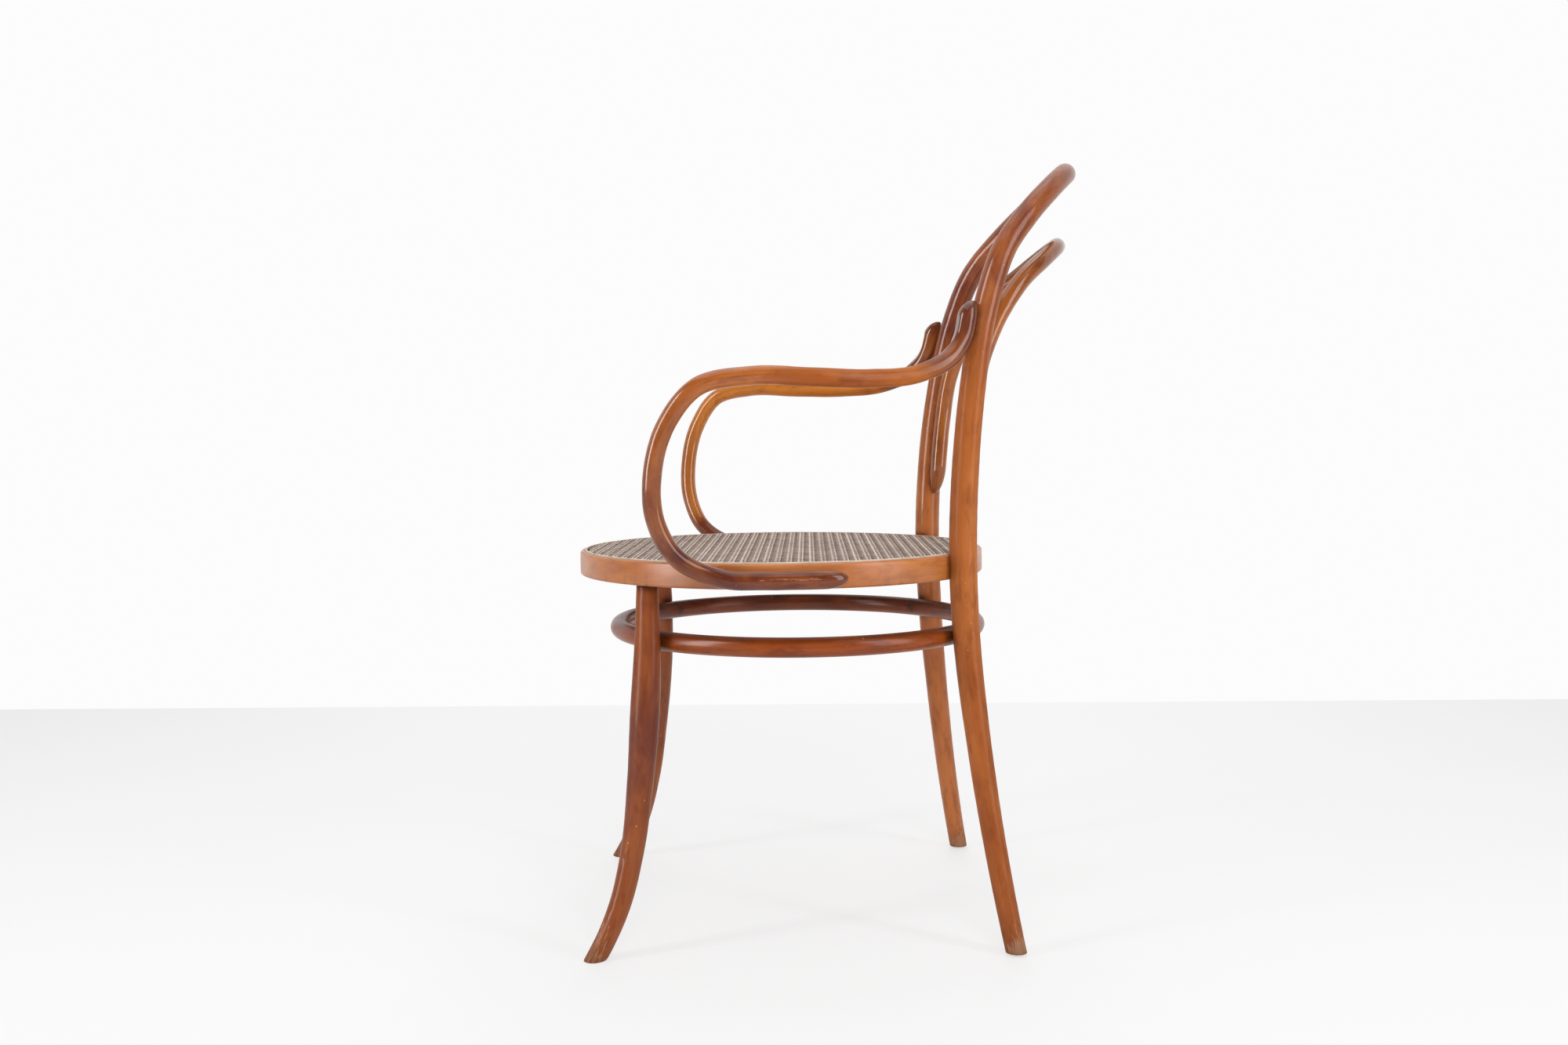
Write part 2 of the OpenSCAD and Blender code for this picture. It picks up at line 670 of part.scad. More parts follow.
module arm_top_screw() {
    on_spoke(upright_at(arm_top_screw_z) + upright_shift(arm_top_screw_z, $side), -arm_side_angle)
        translate([arm_top_screw_face, 0, 0])
        slotted_screw(arm_top_screw_length, screw_radius, screw_head_radius);
}

module arm_seat_screws() {
    for (a = arm_screw_angles) on_spoke([0, 0, arm_low_z], a) translate([arm_seat_screw_face, 0, 0])
        slotted_screw(arm_seat_screw_length, screw_radius, screw_head_radius);
}

module hoop_dowels() {
    on_dowels() pin(dowel_radius, -dowel_length / 2, dowel_length / 2);
}

module back_bolt_left() { color("dimgray") at_seat() back_bolt(); }
module back_bolt_right() { color("dimgray") at_seat() on_right() back_bolt(); }
module bolt_plug_left() { color("sienna") at_seat() bolt_plug(); }
module bolt_plug_right() { color("sienna") at_seat() on_right() bolt_plug(); }
module back_washer_left() { color("gray") at_seat() back_washer(); }
module back_washer_right() { color("gray") at_seat() on_right() back_washer(); }
module back_nut_left() { color("dimgray") at_seat() back_nut(); }
module back_nut_right() { color("dimgray") at_seat() on_right() back_nut(); }
module arm_top_screw_left() { color("dimgray") at_seat() left_side() arm_top_screw(); }
module arm_top_screw_right() { color("dimgray") at_seat() right_side() arm_top_screw(); }
module arm_seat_screws_left() { color("dimgray") at_seat() arm_seat_screws(); }
module arm_seat_screws_right() { color("dimgray") at_seat() on_right() arm_seat_screws(); }
module hoop_dowels_left() { color("burlywood") at_seat() left_side() hoop_dowels(); }
module hoop_dowels_right() { color("burlywood") at_seat() right_side() hoop_dowels(); }
module stretcher_screw_front_left() { color("dimgray") at_seat() stretcher_screw(-stretcher_front_angle); }
module stretcher_screw_front_right() {
    color("dimgray") at_seat() on_right() stretcher_screw(-stretcher_front_angle);
}
module stretcher_screw_rear_left() { color("dimgray") at_seat() stretcher_screw(stretcher_rear_angle); }
module stretcher_screw_rear_right() {
    color("dimgray") at_seat() on_right() stretcher_screw(stretcher_rear_angle);
}

back_frame();
inner_hoop();
seat_ring();
cane_seat();
cane_edge();
cane_binding();
front_leg_left();
front_leg_right();
stretcher_ring();
arm_left();
arm_right();
back_bolt_left();
back_bolt_right();
bolt_plug_left();
bolt_plug_right();
back_washer_left();
back_washer_right();
back_nut_left();
back_nut_right();
arm_top_screw_left();
arm_top_screw_right();
arm_seat_screws_left();
arm_seat_screws_right();
hoop_dowels_left();
hoop_dowels_right();
stretcher_screw_front_left();
stretcher_screw_front_right();
stretcher_screw_rear_left();
stretcher_screw_rear_right();
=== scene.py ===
import math

import bpy
import numpy as np
from mathutils import Matrix, Vector


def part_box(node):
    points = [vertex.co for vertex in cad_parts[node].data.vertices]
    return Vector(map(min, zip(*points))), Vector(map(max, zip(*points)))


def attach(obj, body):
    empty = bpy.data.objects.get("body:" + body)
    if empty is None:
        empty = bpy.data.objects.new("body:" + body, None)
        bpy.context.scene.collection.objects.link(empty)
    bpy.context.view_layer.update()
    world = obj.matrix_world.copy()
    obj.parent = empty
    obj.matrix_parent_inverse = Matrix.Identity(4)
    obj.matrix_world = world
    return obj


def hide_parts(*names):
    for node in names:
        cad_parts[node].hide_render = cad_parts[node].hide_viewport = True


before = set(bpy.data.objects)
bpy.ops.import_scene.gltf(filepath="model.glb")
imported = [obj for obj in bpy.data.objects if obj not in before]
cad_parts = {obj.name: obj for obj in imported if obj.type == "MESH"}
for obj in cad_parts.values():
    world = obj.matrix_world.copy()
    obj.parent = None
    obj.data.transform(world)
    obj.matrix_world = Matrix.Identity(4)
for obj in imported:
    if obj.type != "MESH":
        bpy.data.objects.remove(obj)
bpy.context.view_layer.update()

# Sizes of the chair in millimetres and degrees, as in the construction model. The seat's middle
# is at x = 0, y = 0 here, and SHIFT_Y moves each finished piece to the row's frame.
SEAT_HEIGHT = 459.0
SEAT_RADIUS = 255.0
RING_WIDTH = 38.0
RING_DEPTH = 29.0
GROOVE_INSET = 5.8
GROOVE_WIDTH = 4.6
GROOVE_DEPTH = 5.5
LIP = 1.2
BINDING_RISE = 1.6
BINDING_TUCK = 4.0
CANE_TURN = -2.8
FIT = 0.15
TOUCH = 0.4
NOTCH = 5.0

UPRIGHT_ANGLE = 51.6
UPRIGHT_R = 17.0
REAR_FOOT_R = 12.5
REAR_FOOT_INSET = 28.0
REAR_FOOT_SETBACK = 6.0
HOOP_R = 13.8
HOOP_RISE = 468.0
HOOP_SETBACK = 109.0
BACK_TURN = 3.6
TURN_GROWTH = 2.4
INNER_R = 11.2
INNER_SIDE = 18.0
INNER_DROP = 90.0
INNER_ADVANCE = 10.0
INNER_END_RISE = 75.0
INNER_LEAVE_RISE = 161.0
INNER_TAPER = 40.0

LEG_TOP_ANGLE = 44.6
LEG_TOP_INSET = 23.6
LEG_TOP_R = 12.8
LEG_SWELL_R = 17.8
LEG_FOOT_R = 12.2
LEG_FOOT_INSET = 39.0
LEG_FOOT_SETBACK = 29.0
STRETCHER_R = 11.6
STRETCHER_DROP = 98.0
STRETCHER_INSET = 28.0
STRETCHER_Y = 20.0
STRETCHER_REAR = 49.0
STRETCHER_FRONT = 45.7

ARM_R = 11.0
ARM_END_R = 12.3
ARM_SPREAD = 34.0
ARM_SETBACK = 107.0
ARM_RIGHT_LAG = 23.0
ARM_TOP_RISE = 277.0
ARM_RUN_RISE = 208.0
ARM_LOW_RISE = 11.5
ARM_SIDE = 50.0
ARM_LOW_ANGLES = (-5.4, 4.0, 11.2)
ARM_SCREW_ANGLES = (-4.0, 7.0)
ARM_TOP_TAPER = 26.0
ARM_END_TAPER = 30.0
ARM_CUT_WAY = (0.12, -0.98, 0.1)
ARM_CUT_SHARE = 0.78
TIP_LENGTH = 15.0
TIP_POINT = 0.05

SCREW_R = 2.2
SCREW_HEAD_R = 4.0
STRETCHER_SCREW = 38.0
ARM_SEAT_SCREW = 50.0
ARM_TOP_SCREW = 38.0
SLOT_WIDTH = 0.9
SLOT_FLOOR = -0.35

# How much thinner the rods are than in the construction model, as room for their unevenness
SKIN = 0.36
WANDER = 0.2

# Heights of the extra rings at a foot, and how much its wear takes off each
FOOT_RISES = np.array([0.0, 0.5, 1.6])
FOOT_WEAR = np.array([1.5, 0.5, 0.05])

# Old knocks on the outside of each front leg: height, turn, reach and depth
LEG_KNOCKS = ((114, -25, 6.0, 1.1), (92, 20, 5.0, 0.9), (61, -50, 5.0, 0.7))

# Points of the centrelines, as shares of the way from one named place to the next
REAR_LEG_SHARES = [[0.4, 0.43, 0.333], [0.76, 0.76, 0.667]]
HOOP_SHARES = [[0.012, 0.018, 0.218], [0.024, 0.082, 0.425], [0.048, 0.205, 0.633],
               [0.102, 0.374, 0.778], [0.217, 0.582, 0.865], [0.422, 0.787, 0.934],
               [0.7, 0.939, 0.981]]
INNER_SHARES = [[0.035, 0.07, 0.276], [0.08, 0.244, 0.53], [0.208, 0.498, 0.746],
                [0.486, 0.788, 0.899], [0.736, 0.939, 0.972]]
LEG_SHARES = [[0.35, 0.45, 0.167], [0.6, 0.68, 0.333], [0.76, 0.84, 0.556], [0.87, 0.94, 0.778]]
ARM_SHARES = [[0.655, -1.3, 1.105], [0.722, -1.04, 1.018], [0.818, -0.642, 0.99],
              [0.902, -0.203, 0.996], [0.958, 0.27, 1.003], [0.99, 0.671, 0.947],
              [1, 0.893, 0.77], [0.993, 1, 0.527], [0.972, 0.985, 0.305],
              [0.941, 0.845, 0.128], [0.903, 0.486, 0.008]]
ARM_TOP_SHARES = (1, 0.84, 0.7)
ARM_SCREW_SHARE = 0.84

# Places that follow from the sizes
HOOP_TOP = np.array([0.0, SEAT_RADIUS + HOOP_SETBACK, SEAT_HEIGHT + HOOP_RISE])
REAR_FOOT = np.array([SEAT_RADIUS - REAR_FOOT_INSET, SEAT_RADIUS + REAR_FOOT_SETBACK, 0.0])
INNER_TOP = HOOP_TOP - [0, INNER_ADVANCE, INNER_DROP]
INNER_END_Z = SEAT_HEIGHT + INNER_END_RISE
INNER_LEAVE_Z = SEAT_HEIGHT + INNER_LEAVE_RISE
LEG_FOOT = np.array([SEAT_RADIUS - LEG_FOOT_INSET, LEG_FOOT_SETBACK - SEAT_RADIUS, 0.0])
STRETCHER_Z = SEAT_HEIGHT - STRETCHER_DROP
STRETCHER_RADIUS = SEAT_RADIUS - STRETCHER_INSET
STRETCHER_OUTSIDE = STRETCHER_RADIUS + STRETCHER_R
UNDERSIDE = SEAT_HEIGHT - RING_DEPTH
RING_INNER = SEAT_RADIUS - RING_WIDTH
GROOVE_OUTSIDE = SEAT_RADIUS - GROOVE_INSET
BOLT_Z = SEAT_HEIGHT - RING_DEPTH / 2
ARM_OUT_X = SEAT_RADIUS + ARM_SPREAD
ARM_FRONT_Y = SEAT_RADIUS - ARM_SETBACK
ARM_RUN_Z = SEAT_HEIGHT + ARM_RUN_RISE
ARM_TOP_Z = SEAT_HEIGHT + ARM_TOP_RISE
ARM_LOW_Z = UNDERSIDE + ARM_LOW_RISE
SIDES = (("left", 1), ("right", -1))

ring_low, ring_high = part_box("seat_ring")
SHIFT_Y = (ring_low.y + ring_high.y) * 500.0


# Small sums

def mix(a, b, share):
    return a + (b - a) * share


def between(a, b, shares):
    return [mix(a, b, np.array(s)) for s in shares]


def unit(v):
    v = np.asarray(v, float)
    return v / np.linalg.norm(v, axis=-1, keepdims=True)


def smooth(x, a, b):
    """0 below a, 1 above b, with a soft step between."""
    t = np.clip((np.asarray(x, float) - a) / (b - a), 0, 1)
    return t * t * (3 - 2 * t)


def fade(x, a, b):
    """1 below a, 0 above b, with a soft step between."""
    return 1 - smooth(x, a, b)


def window(x, a, b, c, d):
    """1 from b to c, 0 below a and above d, with soft steps between."""
    return smooth(x, a, b) * fade(x, c, d)


def full_turn(count):
    return np.arange(count) * 2 * math.pi / count


def from_middle(points, y=0.0):
    """How far points lie from an upright line through the middle of a ring."""
    return np.hypot(points[..., 0], points[..., 1] - y)


def spoke(angle, distance, y, z):
    a = math.radians(angle)
    return np.array([distance * math.cos(a), y + distance * math.sin(a), z])


def heading(angle, side=1):
    """A level direction, mirrored where side is -1."""
    return spoke(angle, 1, 0, 0) * [side, 1, 1]


def near(points, place, reach):
    d = np.linalg.norm(points - np.asarray(place)[None, :], axis=1)
    return fade(d, reach * 0.35, reach)


def wave_noise(x, seed, count=5, low=0.004, high=0.03):
    """A smooth, repeatable wander along a length in millimetres."""
    r = np.random.default_rng(seed)
    x = np.asarray(x, float)
    total = np.zeros_like(x)
    for _ in range(count):
        size = r.uniform(0.4, 1)
        pace = r.uniform(low, high) * 2 * math.pi
        total += size * np.sin(x * pace + r.uniform(0, 6.28))
    return total / count


# Centrelines

def slopes(chord, size):
    inner = [(chord[i - 1] * size[i] + chord[i] * size[i - 1]) / (size[i - 1] + size[i])
             for i in range(1, len(chord))]
    return np.array([2 * chord[0] - inner[0]] + inner + [2 * chord[-1] - inner[-1]])


def curve(points, values, spacing=3.0):
    """A smooth line through the points, with the values carried along it."""
    size = np.linalg.norm(np.diff(points, axis=0), axis=1)
    rows = np.column_stack([points, values])
    way = slopes(np.diff(rows, axis=0) / size[:, None], size)
    line = []
    for i in range(len(rows) - 1):
        steps = max(2, int(round(size[i] / spacing)))
        t = (np.arange(steps) / steps)[:, None]
        a = (1 + 2 * t) * (1 - t) ** 2
        b = t * (1 - t) ** 2 * size[i]
        c = t * t * (3 - 2 * t)
        d = t * t * (t - 1) * size[i]
        line.append(a * rows[i] + b * way[i] + c * rows[i + 1] + d * way[i + 1])
    line = np.vstack(line + [rows[-1]])
    return line[:, :3], line[:, 3]


def directions(line):
    ahead = np.vstack([line[1:], line[-1:]])
    behind = np.vstack([line[:1], line[:-1]])
    return unit(ahead - behind)


def lengths_along(line):
    return np.concatenate([[0], np.cumsum(np.linalg.norm(np.diff(line, axis=0), axis=1))])


def carried_sides(way):
    """A direction square to the line, carried along it without twisting."""
    side = np.array([0.0, 1.0, 0.0])
    out = []
    for w in way:
        side = unit(side - (side @ w) * w)
        out.append(side)
    return np.array(out)


def with_mirrored(points):
    """The points of a left half, then those of its right half, which starts at the middle."""
    return points + [p * [-1, 1, 1] for p in points[-2::-1]]


def turn_rate(z):
    rise = np.maximum(np.asarray(z, float) - SEAT_HEIGHT, 0) / HOOP_RISE
    return math.tan(math.radians(BACK_TURN)) * rise ** TURN_GROWTH


def turned(points):
    """The back stands a little turned: its right side is farther back."""
    points = np.array(points, float)
    points[..., 1] -= turn_rate(points[..., 2]) * points[..., 0]
    return points


def back_curve():
    r_low = mix(REAR_FOOT_R, UPRIGHT_R, 0.9)
    at_stretcher = spoke(STRETCHER_REAR, STRETCHER_OUTSIDE + TOUCH + r_low, STRETCHER_Y, STRETCHER_Z)
    at_seat = spoke(UPRIGHT_ANGLE, SEAT_RADIUS + UPRIGHT_R - NOTCH, 0, BOLT_Z)
    points = [REAR_FOOT] + between(REAR_FOOT, at_stretcher, REAR_LEG_SHARES)
    points += [at_stretcher, at_seat] + between(at_seat, HOOP_TOP, HOOP_SHARES) + [HOOP_TOP]
    radii = between(REAR_FOOT_R, UPRIGHT_R, (0, 0.25, 0.55)) + [r_low, UPRIGHT_R]
    radii += between(UPRIGHT_R, HOOP_R, (0.12, 0.35, 0.52, 0.68, 0.8, 0.9, 1, 1))
    return curve(with_mirrored(points), radii + radii[-2::-1])


BACK_LINE, BACK_RADII = back_curve()
rising = np.argmax(BACK_LINE[:len(BACK_LINE) // 2 + 1, 2]) + 1
upright_line = BACK_LINE[:rising]
upright_radii = BACK_RADII[:rising]


def upright_at(z):
    """Middle of the left upright at a height, before the turn."""
    x = np.interp(z, upright_line[:, 2], upright_line[:, 0])
    y = np.interp(z, upright_line[:, 2], upright_line[:, 1])
    return np.array([x, y, z])


def upright_radius_at(z):
    return float(np.interp(z, upright_line[:, 2], upright_radii))


def upright_shift(z, side):
    """What the turn adds, in coordinates mirrored for the right side (side = -1)."""
    return np.array([0, -side * float(turn_rate(z)) * upright_at(z)[0], 0])


def beside(z, angle, away):
    """A place beside the left upright, at an angle and a distance from its face."""
    way = unit(upright_at(z + 5) - upright_at(z - 5))
    out = heading(angle)
    distance = upright_radius_at(z) + away
    return upright_at(z) + distance * unit(out - (out @ way) * way)


def inner_curve():
    heights = [INNER_END_Z, mix(INNER_END_Z, INNER_LEAVE_Z, 0.5), INNER_LEAVE_Z]
    points = [beside(z, 180 - INNER_SIDE, INNER_R + TOUCH) for z in heights]
    points += between(points[-1], INNER_TOP, INNER_SHARES) + [INNER_TOP]
    points = with_mirrored(points)
    line, radii = curve(points, [INNER_R] * len(points), 2.6)
    return turned(line), radii


def leg_curve():
    r_low = mix(LEG_TOP_R, LEG_SWELL_R, 0.6)
    at_stretcher = spoke(-STRETCHER_FRONT, STRETCHER_OUTSIDE + TOUCH + r_low, STRETCHER_Y, STRETCHER_Z)
    top = spoke(-LEG_TOP_ANGLE, SEAT_RADIUS - LEG_TOP_INSET, 0, UNDERSIDE)
    points = [LEG_FOOT] + between(LEG_FOOT, at_stretcher, LEG_SHARES) + [at_stretcher, top]
    radii = [LEG_FOOT_R] + between(LEG_FOOT_R, LEG_SWELL_R, (0.18, 0.36, 0.68, 1)) + [r_low, LEG_TOP_R]
    line, radii = curve(points, radii)
    line[-1, 2] -= TOUCH / 2
    return line, radii


def arm_lag(share):
    """How far the right arm's loop stands behind the left one's."""
    if share > 0:
        return ARM_RIGHT_LAG * share
    z = mix(ARM_LOW_Z, ARM_RUN_Z, ARM_SHARES[0][2])
    rear = 2 * float(turn_rate(z)) * upright_at(z)[0]
    return rear * share / ARM_SHARES[0][1]


def arm_curve(side):
    """The arm as on the sitter's left; side is -1 for the right arm, still to be mirrored."""
    points = []
    for share in ARM_TOP_SHARES:
        z = mix(ARM_RUN_Z, ARM_TOP_Z, share)
        points.append(beside(z, -ARM_SIDE, ARM_END_R + TOUCH) + upright_shift(z, side))
    for x, y, z in ARM_SHARES:
        lag = arm_lag(y) if side < 0 else 0
        points.append(np.array([ARM_OUT_X * x, lag - ARM_FRONT_Y * y, mix(ARM_LOW_Z, ARM_RUN_Z, z)]))
    points += [spoke(a, SEAT_RADIUS + ARM_R + 2 * TOUCH, 0, ARM_LOW_Z) for a in ARM_LOW_ANGLES]
    radii = [ARM_END_R] * 3 + [mix(ARM_END_R, ARM_R, 0.6)] + [ARM_R] * (len(points) - 4)
    return curve(points, radii, 2.6)


def round_tips(line, radii):
    """Adds a rounded tip past both ends of a line, each closed almost to a point."""
    way = directions(line)
    turns = np.radians(np.linspace(7, 86, 14))
    reach = TIP_LENGTH * np.sin(turns)[:, None]
    low = line[0] - way[0] * reach
    high = line[-1] + way[-1] * reach
    closing = np.cos(turns)
    return (np.vstack([low[::-1], line, high]),
            np.concatenate([radii[0] * closing[::-1], radii, radii[-1] * closing]))


def foot_cut(line, radii):
    """Extra rings close to the floor for the worn rounding of a foot's edge."""
    way = directions(line)[0]
    extra = line[0] + way * FOOT_RISES[:, None] / way[2]
    keep = line[:, 2] > FOOT_RISES[-1] + 1
    return np.vstack([extra, line[keep]]), np.concatenate([radii[0] - FOOT_WEAR, radii[keep]])


# Meshes

def linked(name, data):
    obj = bpy.data.objects.new(name, data)
    bpy.context.scene.collection.objects.link(obj)
    return obj


def plain_mesh(name, verts, faces):
    mesh = bpy.data.meshes.new(name)
    mesh.from_pydata(verts, [], faces)
    mesh.update()
    return mesh


def make_mesh(name, verts, quads, tris, uvs, at_points, at_corners):
    """A smooth mesh object in the row's frame from millimetre points, with an unwrapped map."""
    verts = np.array(verts, float)
    verts[:, 1] += SHIFT_Y
    tris = np.asarray(tris, np.int32).reshape(-1, 3)
    corners = np.concatenate([np.asarray(quads, np.int32).ravel(), tris.ravel()])
    first_tri = len(quads) * 4
    starts = np.concatenate([np.arange(len(quads)) * 4, first_tri + np.arange(len(tris)) * 3])
    mesh = bpy.data.meshes.new(name)
    mesh.vertices.add(len(verts))
    mesh.vertices.foreach_set("co", (verts / 1000).astype(np.float32).ravel())
    mesh.loops.add(len(corners))
    mesh.loops.foreach_set("vertex_index", corners)
    mesh.polygons.add(len(starts))
    mesh.polygons.foreach_set("loop_start", starts.astype(np.int32))
    mesh.update(calc_edges=True)
    layer = mesh.uv_layers.new(name="OFBake")
    layer.data.foreach_set("uv", np.asarray(uvs, np.float32).ravel())
    for domain, values in (("POINT", at_points), ("CORNER", at_corners)):
        for key, value in values.items():
            put_values(mesh, key, domain, np.asarray(value, np.float32))
    mesh.shade_smooth()
    return linked(name, mesh)


def put_values(mesh, key, domain, value):
    kind, field = ("FLOAT_VECTOR", "vector") if value.ndim == 2 else ("FLOAT", "value")
    mesh.attributes.new(key, kind, domain).data.foreach_set(field, value.ravel())


def map_columns(step, count, columns, start, end, room):
    """The map's left, right, low and high where a length lies in a few upright columns."""
    per = count / columns
    column = np.minimum((step / per).astype(int), columns - 1)
    low = room + (step - column * per) / (per + 1) * (0.99 - room)
    high = room + (step + 1 - column * per) / (per + 1) * (0.99 - room)
    left = (column + 0.03 + 0.94 * start) / columns
    right = (column + 0.03 + 0.94 * end) / columns
    return left, right, low, high


def map_corners(*corners):
    """The map's points, quad by quad, from each corner's two rows of numbers."""
    corners = [np.stack(np.broadcast_arrays(u, v), 1) for u, v in corners]
    return np.stack(corners, 1).reshape(-1, 2)


def level_rings(points, line, way, height):
    """Rings close to a level cut lie level, and turn square to the rod by degrees."""
    share = fade(np.abs(line[:, 2] - height), 5, 16)
    for i in np.nonzero(share > 0)[0]:
        off = (points[i, :, 2] - line[i, 2]) / way[i, 2]
        flat = points[i] - way[i][None, :] * off[:, None]
        points[i] = mix(points[i], flat, share[i])


def press_dents(points, dents):
    """Small round dents: each is a place, a reach and a depth towards a given way."""
    for place, reach, push in dents:
        d = np.linalg.norm(points - np.asarray(place), axis=-1) / reach
        share = np.clip(1 - d * d, 0, 1) ** 2
        points += share[..., None] * np.asarray(push)


def rod_grain(points, line, side, up, s):
    """Each point's place in the straight rod, before it was bent, in metres."""
    away = points - line[:, None, :]
    x = np.einsum("ijk,ik->ij", away, side)
    y = np.einsum("ijk,ik->ij", away, up)
    z = np.repeat(s[:, None], points.shape[1], axis=1)
    return np.stack([x, y, z], -1).reshape(-1, 3) / 1000


def rod_faces(rings, sides, columns):
    i = np.repeat(np.arange(rings - 1), sides)
    k = np.tile(np.arange(sides), rings - 1)
    n = (k + 1) % sides
    quads = np.stack([i * sides + k, i * sides + n, (i + 1) * sides + n, (i + 1) * sides + k], 1)
    left, right, low, high = map_columns(i, rings - 1, columns, k / sides, (k + 1) / sides, 0.04)
    return quads, map_corners((left, low), (right, low), (right, high), (left, high))


def end_fan(sides, ring, centre, at_start):
    """A fan that closes a rod's end, and its round patch on the map."""
    angle = full_turn(sides)
    middle = np.array([0.03 if at_start else 0.08, 0.018])
    patch = middle + 0.016 * np.column_stack([np.cos(angle), np.sin(angle)])
    tris = []
    uvs = []
    for k in range(sides):
        a, b = (k, (k + 1) % sides)[::-1 if at_start else 1]
        tris.append((ring * sides + a, ring * sides + b, centre))
        uvs += [patch[a], patch[b], middle]
    return tris, uvs


def rod(name, line, radii, sides, columns, seed, marks, shape=None, levels=(), dents=(), apex=0.0):
    """A bent round rod along a line, with the small unevenness of handwork."""
    way = directions(line)
    side = carried_sides(way)
    up = np.cross(way, side)
    s = lengths_along(line)
    angle = full_turn(sides)
    lean = wave_noise(s, seed + 3)[:, None] * 3
    oval = 1 - WANDER * 0.02 * (1 - np.cos(2 * (angle[None, :] - lean)))
    thin = (SKIN + WANDER * (1 - wave_noise(s, seed)) / 2) * (radii > 6)
    local = (radii - thin)[:, None] * oval
    x = local * np.cos(angle)[None, :]
    y = local * np.sin(angle)[None, :]
    points = line[:, None, :] + x[..., None] * side[:, None, :] + y[..., None] * up[:, None, :]
    if shape is not None:
        points = shape(points, line, radii, way, s)
    for height in levels:
        level_rings(points, line, way, height)
    press_dents(points, dents)
    rings = len(line)
    quads, uvs = rod_faces(rings, sides, columns)
    verts = points.reshape(-1, 3)
    grain = rod_grain(points, line, side, up, s)
    tris = []
    for ring, at_start in ((0, True), (rings - 1, False)):
        out = -way[0] if at_start else way[-1]
        new_tris, new_uvs = end_fan(sides, ring, len(verts), at_start)
        tris += new_tris
        uvs = np.vstack([uvs, new_uvs])
        verts = np.vstack([verts, points[ring].mean(0) + out * apex])
        grain = np.vstack([grain, [0, 0, s[ring] / 1000]])
    values = {"grain": grain}
    values.update(marks(verts, grain[:, 2] * 1000, float(s[-1])))
    return make_mesh(name, verts, quads, tris, uvs, values, {})


def lathe(name, profile, middle_y, seam, marks, wander, seed):
    """A closed profile of (distance, height) turned about an upright line from the seam's angle."""
    steps = 360
    profile = np.asarray(profile, float)
    count = len(profile)
    edge = np.linalg.norm(np.roll(profile, -1, 0) - profile, axis=1)
    around = np.concatenate([[0], np.cumsum(edge)]) / edge.sum()
    turn = math.radians(seam) + full_turn(steps)
    wobble = wander * ((np.sin(3 * turn + seed) + 0.6 * np.sin(7 * turn + seed * 2)) / 2 - 0.8)
    away = profile[None, :, 0] + wobble[:, None]
    x = away * np.cos(turn)[:, None]
    y = middle_y + away * np.sin(turn)[:, None]
    z = np.repeat(profile[None, :, 1], steps, axis=0)
    verts = np.stack([x, y, z], -1).reshape(-1, 3)
    i = np.repeat(np.arange(steps), count)
    k = np.tile(np.arange(count), steps)
    n = (i + 1) % steps
    m = (k + 1) % count
    quads = np.stack([i * count + k, n * count + k, n * count + m, i * count + m], 1)
    left, right, low, high = map_columns(i, steps, 4, around[k], around[k + 1], 0.01)
    uvs = map_corners((left, low), (left, high), (right, high), (right, low))
    middle = profile.mean(0)
    length = 2 * math.pi * middle[0] / steps

    def grain_at(step, point):
        return np.column_stack([profile[point] - middle, step * length]) / 1000
    grain = np.stack([grain_at(i, k), grain_at(i + 1, k), grain_at(i + 1, m), grain_at(i, m)], 1)
    return make_mesh(name, verts, quads, [], uvs, marks(verts), {"grain": grain.reshape(-1, 3)})


def rounded(corners, parts=6):
    """A profile from corners (distance, height, radius), each rounded by its own radius."""
    places = np.array([c[:2] for c in corners], float)
    out = []
    for i, (here, (_, _, radius)) in enumerate(zip(places, corners)):
        if radius <= 0:
            out.append(here)
            continue
        a = here + unit(places[i - 1] - here) * radius
        b = here + unit(places[(i + 1) % len(places)] - here) * radius
        for t in np.arange(parts + 1) / parts:
            out.append((1 - t) ** 2 * a + 2 * t * (1 - t) * here + t * t * b)
    return out


# Node materials

def rgb(r, g, b):
    """A screen colour, 0 to 255, as the linear value that the shader takes."""
    def lin(c):
        c /= 255
        return c / 12.92 if c <= 0.04045 else ((c + 0.055) / 1.055) ** 2.4
    return (lin(r), lin(g), lin(b), 1.0)


def tones(*colours):
    return [rgb(*c) for c in colours]


